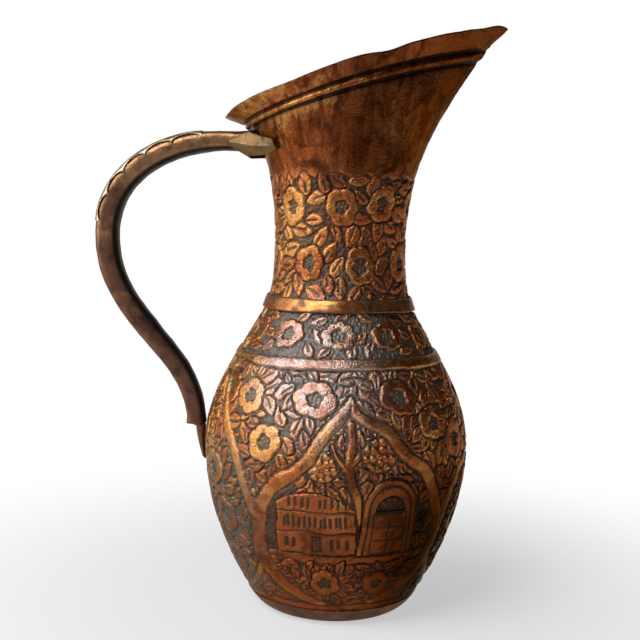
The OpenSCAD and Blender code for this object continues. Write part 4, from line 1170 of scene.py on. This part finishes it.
GOLDEN, COPPER, UMBER = (0.63, 0.282, 0.080, 1), (0.40, 0.110, 0.031, 1), (0.175, 0.048, 0.016, 1)
# The darkest colour is soot in hollows, and the painted shade of the rim's grooves.
SOOT_AND_SHADE = (0.040, 0.045, 0.035, 1)
raised_copper = copper("raised_copper", (GOLDEN, COPPER, UMBER, SOOT_AND_SHADE), 0.14, wall_marks, 0.75)
band_copper = copper("band_copper", ((0.54, 0.255, 0.072, 1), COPPER, UMBER, SOOT_AND_SHADE), 0.24, plain_marks)
# The handle's darkest colour is the painted black shade of its underside.
handle_copper = copper("handle_copper", (
    (0.36, 0.19, 0.085, 1), (0.19, 0.085, 0.05, 1), (0.10, 0.042, 0.030, 1), (0.012, 0.011, 0.012, 1)),
    0.28, plain_marks)
# Pale like solder, and with a painted sheen of light on the spine's top.
spine_solder = copper("spine_solder", (
    (0.44, 0.385, 0.275, 1), (0.25, 0.135, 0.048, 1), (0.13, 0.066, 0.028, 1), (0.05, 0.038, 0.03, 1)),
    0.26, plain_marks)
leaf_copper = copper("leaf_copper", (
    (0.27, 0.215, 0.115, 1), (0.19, 0.105, 0.042, 1), (0.09, 0.058, 0.028, 1), (0.026, 0.025, 0.02, 1)),
    0.26, plain_marks)
base_copper = copper("base_copper", (
    (0.24, 0.10, 0.045, 1), (0.12, 0.052, 0.03, 1), (0.07, 0.035, 0.024, 1), SOOT_AND_SHADE), 0.36, plain_marks)


# Pieces.

WALL_IN, INNER_STEP = SHEET + 0.6, 6


def chased_piece(name, node, field, outer, inner, rows, cols, ring):
    points, faces = wall_mesh(outer[np.ix_(rows, cols)], inner, ring)
    marks = field.marks(rows, cols, inner.shape[0] * inner.shape[1])
    new_piece(name, points, faces, raised_copper, node, marks)


def belly_piece(name, rows, cols, ring):
    inner = wall_points(belly_w[rows[::INNER_STEP]], belly_phi[cols[::INNER_STEP]], -WALL_IN)
    chased_piece(name, "belly", belly, belly_outer, inner, rows, cols, ring)


def neck_piece(name, rows, step_y, step_x, thick):
    cols = np.arange(NECK_COLS)
    at = np.ix_(rows[::step_y], cols[::step_x])
    inner = neck_base[at] + (neck_swell[at] - edge_round[rows[::step_y]] - thick)[..., None] * neck_normal[at]
    inner[..., 2] -= rim_drop[at]
    chased_piece(name, "neck", neck, neck_outer, inner, rows, cols, True)


for k, name in enumerate(("belly_left", "belly_front", "belly_right", "belly_back")):
    panel_cols = np.arange(k * PANEL_COLS, (k + 1) * PANEL_COLS + 1) % belly_cols
    belly_piece(name, np.arange(PANEL_ROWS + 1), panel_cols, False)
belly_piece("belly_shoulder", np.arange(PANEL_ROWS, PANEL_ROWS + RING_ROWS + 1), np.arange(belly_cols), True)
neck_piece("neck_flowers", np.arange(FLORAL_ROWS + 1), 6, 5, WALL_IN)
neck_piece("neck_rim", np.arange(FLORAL_ROWS, len(neck_v)), 2, 2, SHEET)

COLLAR_ROWS, COLLAR_COLS, COLLAR_END, COLLAR_TRIM = 19, 541, 0.35, 1.4


def collar():
    """A strip bent round the neck seam. Its ends meet on a slanted line."""
    r_wall, z_wall = np.concatenate([outline, bez(NECK_LOW, fine)]).T
    share = np.linspace(-0.5, 0.5, COLLAR_ROWS)[:, None]
    turn = np.linspace(COLLAR_END, 360.0 - COLLAR_END, COLLAR_COLS)[None, :]

    def grain(seed, turns, tall, kind=cells):
        return kind(seed, turn / 360.0 * turns, share * tall, turns)

    shake = 1.3 * (np.where(share > 0, grain(91, 22, 0), grain(90, 19, 0)) - 0.5)
    z = JOINT_Z + share * (COLLAR_W - COLLAR_TRIM) + shake * share
    slant = np.degrees((z - JOINT_Z) * math.tan(math.radians(COLLAR_SLANT)) / JOINT_R)
    a = np.radians(COLLAR_TURN + 90.0 + turn - slant)
    seat_r = np.interp(z, z_wall, r_wall) + SEAM_GAP
    crown = COLLAR_T * (0.5 + 0.5 * np.sqrt(np.clip(1 - (2 * share) ** 4, 0, 1)))
    crown = crown - 0.14 * (0.7 - grain(92, 38, 1.4, dimples)).clip(0) - 0.1 * grain(93, 60, 3)
    face, back = (np.stack([r * np.sin(a), -r * np.cos(a), z], -1) for r in (seat_r + crown, seat_r))
    points, faces = wall_mesh(face, back[::3, ::6], False)
    wear = 0.10 + 0.7 * grain(94, 26, 1.2) - 0.5 * np.abs(share) ** 3
    dirt = 0.75 * smooth(2.6 * grain(89, 48, 2.4) - 1.55)
    dark = np.maximum(0.8 * smooth((np.abs(share) - 0.40) / 0.08), dirt)
    new_piece("neck_collar_strip", points, faces, band_copper, "neck_collar",
              plain_wear_and_painted_light(points, dark, wear))


BASE_COLS, BASE_HOLE = 240, 1.5


def base():
    """The dished base plate, a little dented."""
    curve = bez(DISH, np.linspace(0, 1, 40))
    run = unit(np.gradient(curve, axis=0))
    inside = curve + PLATE_T * np.stack([-run[:, 1], run[:, 0]], -1)
    flat = np.stack([np.linspace(BASE_HOLE, FOOT_R, 14)[:-1], np.zeros(13)], -1)
    profile = np.concatenate([flat, curve, inside[::-1], (flat + [0, PLATE_T])[::-1]])
    share = np.arange(BASE_COLS) / BASE_COLS
    turn = np.radians(share * 360.0)
    rings = []
    for r, z in profile:
        reach = r - 0.25 * cells(95, share * 36, r / 6.0, 36) * min(z / 3.0, 1.0)
        rings.append(np.stack([reach * np.sin(turn), -reach * np.cos(turn), np.full(BASE_COLS, z)], -1))
    loft_piece("base_dish", rings, base_copper, "base_plate", 0.35, 40)


FILLET, FILLET_RUN, HANDLE_ROWS, HANDLE_COLS = 1.6, 0.055, 241, 64


def handle():
    s, turn = np.linspace(0, 1, HANDLE_ROWS), np.arange(HANDLE_COLS) * 360.0 / HANDLE_COLS
    run, share = s[:, None], turn[None, :] / 360.0
    soft = cells(97, share * 4, run * 14, 4)
    depth = -0.3 * (0.7 - dimples(96, share * 6, run * 34, 6)).clip(0) - 0.35 * soft
    depth = depth * smooth(run / 0.03) * smooth((1 - run) / 0.02)
    top = smooth(np.cos(np.radians(turn)) / 0.6)
    depth = depth + FILLET * smooth((FILLET_RUN - run) / FILLET_RUN) * top[None, :]
    points, faces = wall_mesh(tube_rings(s, turn, 0.0, depth), tube_rings(s[::4], turn[::2], SHEET), True)
    # Painted shade: the handle's underside, facing the jug, is painted near black as if in shadow.
    fold = np.abs(signed_turn(turn))[None, :]
    dark = smooth((fold - 104.0) / 20.0)
    tone = lerp(0.85, 0.30, smooth((run - 0.28) / 0.16)) - 0.25 * smooth((run - 0.62) / 0.15)
    tone = tone + 0.35 * smooth((46.0 - fold) / 18.0) * smooth((run - 0.3) / 0.1) + 0.3 * (soft - 0.5)
    new_piece("handle_strap", points, face_out(points, faces), handle_copper, "handle_tube",
              plain_wear_and_painted_light(points, dark, tone), 50)


SPINE_ROWS, SPINE_COLS = 161, 25


def spine():
    """The strip along the handle's upper half, with scalloped edges and thinned ends."""
    t = np.linspace(0, 1, SPINE_ROWS)[:, None]
    s = lerp(SPINE_FROM, SPINE_TO, t)
    reach = lerp(POINT_WRAP, SPINE_WRAP, np.abs(np.sin(np.pi * SCALLOPS * t)) ** 0.6)
    k = np.linspace(1, -1, SPINE_COLS)[None, :]
    back = k[:, ::-1]
    full = 0.55 + 0.45 * np.sqrt(np.clip(1 - back ** 6, 0, 1))
    thin_ends = lerp(0.3, 1.0, smooth(np.minimum(t, 1 - t) / 0.09))
    top_off = SEAT_GAP + thin_ends * (SPINE_T * full - 0.12 * cells(98, back * 3 + 3, s * 60, 8))
    rings = np.concatenate([grip_skin(s, reach * k, SEAT_GAP), grip_skin(s, reach * back, top_off)], 1)
    edge = np.abs(np.concatenate([k, k], 1)) * reach
    # Brighter along the middle than at the scalloped edges: a painted sheen of light on the strip's top.
    tone = 0.55 + 0.45 * cells(88, edge / 14.0 + 20, s * 90, 60) - 0.3 * smooth((edge - reach + 12.0) / 9.0)
    loft_piece("handle_spine_strip", rings, spine_solder, "handle_spine", tone, 45)


collar()
base()
handle()
spine()


# Clasp leaves and the tongue.

LEAF_BACK, LEAF_TURN, LEAF_TIP_V, LEAF_HALF, LEAF_T, LEAF_RIDGE = 15.0, 35.0, 0.8, 6.2, 1.1, 1.6
LEAF_WIDEST, LEAF_RINGS = 0.36, 49
LEAF_SECTION = [(-1, -0.5), (-0.5, -0.5), (0, -0.5), (0.5, -0.5), (1, -0.5), (1, 0.2), (0.93, 0.5), (0.8, 0.5),
                (0.4, 0.5), (0.12, 0.5), (0, 0.5), (-0.12, 0.5), (-0.4, 0.5), (-0.8, 0.5), (-0.93, 0.5),
                (-1, 0.2)]
leaf_lift = SEAT_GAP + LEAF_T / 2
tip_turn, tip_v = 180.0 + LEAF_TURN, 1 + LEAF_TIP_V
tip_out = neck_out(tip_turn, tip_v)
leaf_tip = neck_point(tip_turn, tip_v) + leaf_lift * tip_out
tip_run = unit(neck_point(tip_turn + 1, tip_v) - neck_point(tip_turn - 1, tip_v))
leaf_root = np.array([grip_start[0] - LEAF_BACK, -GRIP_W / 2 - leaf_lift, grip_start[1]])
LEAF_CURVE = [leaf_root, leaf_root + [LEAF_BACK * 0.7, 0, 0], leaf_tip - tip_run * LEAF_BACK * 0.6, leaf_tip]


def clasp_leaf(name, node, side):
    rings = []
    for t in np.linspace(0, 1, LEAF_RINGS):
        run = unit(bez(LEAF_CURVE, min(t + NUDGE, 1.0)) - bez(LEAF_CURVE, max(t - NUDGE, 0.0)))
        lean = lerp(unit(np.cross(run, [0, 0, 1])), tip_out, t)
        upward = unit(np.cross(lean, run))
        out = np.cross(run, upward)
        w = LEAF_HALF * float(np.interp(t, [0, LEAF_WIDEST, 1], [0.2, 1, 0.42]))
        ring = []
        for a, b in LEAF_SECTION:
            rise = LEAF_RIDGE * w / LEAF_HALF * (1 - abs(a)) ** 0.85 if b > 0.3 else 0
            rise -= 0.3 * float(cells(99, t * 7 + 2.0, a * 2.2 + 4.0, 12)) if b > 0.3 and 0 < t < 1 else 0
            ring.append(bez(LEAF_CURVE, t) + a * w * upward + (b * LEAF_T + rise) * out)
        rings.append(ring)
    tones = [0.8 if abs(a) == 1 else 0.55 if a == 0 and b > 0 else 0.0 for a, b in LEAF_SECTION]
    tone = np.tile(tones, LEAF_RINGS)
    loft_piece(name, np.asarray(rings) * [1, side, 1], leaf_copper, node, tone, 28)


clasp_leaf("clasp_leaf_near_side", "clasp_leaf_near", 1)
clasp_leaf("clasp_leaf_far_side", "clasp_leaf_far", -1)

TONGUE_LEN, TONGUE_IN, TONGUE_T, TONGUE_TIP_T, TONGUE_TIP_W = 19.0, 6.0, 5.4, 1.2, 6.0


def tongue():
    """The tab that comes out of the handle's lower end and lies on the belly."""
    turn = np.arange(40) * 9.0
    joggle = SHEET + SEAT_GAP
    rings = list(tube_rings(np.linspace(1 - TONGUE_IN / (6 * END_RUN), 1, 5), turn, joggle))
    across, out = (signed_power(f(np.radians(turn)), GRIP_SQUARE) for f in (np.sin, np.cos))
    for t in np.linspace(0, 1, 33):
        z = END_Z - joggle - t * (TONGUE_LEN - joggle)
        share = (END_Z - z) / TONGUE_LEN
        thick = lerp(TONGUE_T, TONGUE_TIP_T, share) * (1 - 0.35 * smooth((share - 0.9) / 0.1))
        w = lerp(END_W - 2 * joggle, TONGUE_TIP_W, share ** 2) / 2
        w = w * (1 - 0.45 * smooth((share - 0.86) / 0.14) ** 2)
        y = w * across
        wall = np.sqrt((belly_at(z) + SEAT_GAP) ** 2 - y * y)
        rings.append(np.stack([-wall - thick * (1 + out) / 2, y, np.full(len(turn), z)], -1))
    loft_piece("handle_end_tongue", rings, handle_copper, "handle_tongue", 0.15, 40)


tongue()


# Floor, backdrop and light.

FLOOR_R, FLOOR_ROUGHNESS, FLOOR_SHINE = 6.0, 0.9, 0.1
FLOOR_GREY, WHITE = (0.72, 0.72, 0.72, 1), (1, 1, 1, 1)
DARK_WALL, PALE_WALL = (0.022, 0.018, 0.015, 1), (0.46, 0.46, 0.47, 1)
DARK_CEILING, PALE_CEILING = (0.10, 0.105, 0.115, 1), (0.42, 0.44, 0.48, 1)


def seen_white(tree, behind):
    """1 for what the camera sees, and for reflections of what lies behind the jug."""
    path = add(tree, "ShaderNodeLightPath")
    mirror = Value(path, "Is Glossy Ray") | Value(path, "Is Transmission Ray")
    return Value(path, "Is Camera Ray") | mirror * behind


def set_stage():
    bpy.ops.object.select_all(action="DESELECT")
    bpy.ops.mesh.primitive_circle_add(vertices=96, radius=FLOOR_R, fill_type="NGON", location=(0, 0, 0))
    floor = bpy.context.object
    floor.name = "floor"
    material = bpy.data.materials.new("pale_floor")
    material.use_nodes = True
    tree = material.node_tree
    shader = tree.nodes["Principled BSDF"]
    plug(shader, {"Base Color": FLOOR_GREY, "Roughness": FLOOR_ROUGHNESS, "Specular IOR Level": FLOOR_SHINE})
    place = coordinates(tree)
    far = place.vector("LENGTH", (0, 0, 0), "Value").ramp(0.06, 0.34, 0.52, 1.0)
    fade = seen_white(tree, place.parts()[1].ramp(-0.24, -0.06)) * far
    white = add(tree, "ShaderNodeEmission")
    blend = add(tree, "ShaderNodeMixShader", {0: fade, 1: Value(shader), 2: Value(white)})
    plug(tree.nodes["Material Output"], {"Surface": Value(blend)})
    floor.data.materials.append(material)


def set_world():
    """White behind the jug, a dim room in front of it."""
    world = bpy.data.worlds.new("studio")
    scene.world = world
    world.use_nodes = True
    tree = world.node_tree
    x, y, z = coordinates(tree, "Generated").parts()
    across = x.ramp(0.2, -0.9)
    room = z.ramp(0.1, 0.95).mix(across.mix(DARK_WALL, PALE_WALL), across.mix(DARK_CEILING, PALE_CEILING))
    color = seen_white(tree, y.ramp(0.75, 0.95)).mix(room, WHITE)
    plug(tree.nodes["Background"], {"Color": color, "Strength": 1.0})


def softbox(name, place, target, size, power, color):
    data = bpy.data.lights.new(name, "AREA")
    data.shape = "RECTANGLE"
    data.size, data.size_y = size
    data.energy, data.color = power, color
    lamp = bpy.data.objects.new(name, data)
    scene.collection.objects.link(lamp)
    lamp.location = place
    lamp.rotation_euler = (Vector(target) - Vector(place)).to_track_quat("-Z", "Y").to_euler()


set_stage()
set_world()
softbox("key_light", (-0.62, -0.80, 1.15), (0, 0, 0.14), (0.7, 0.7), 14.0, (0.96, 0.97, 1.0))
softbox("side_light", (-1.30, -0.35, 0.55), (0, 0, 0.16), (0.7, 1.0), 8.5, (0.96, 0.97, 1.0))
softbox("fill_light", (0.9, -1.2, 0.6), (0, 0, 0.15), (0.5, 0.8), 0.35, (1.0, 0.93, 0.86))

scene.view_settings.view_transform = "Standard"
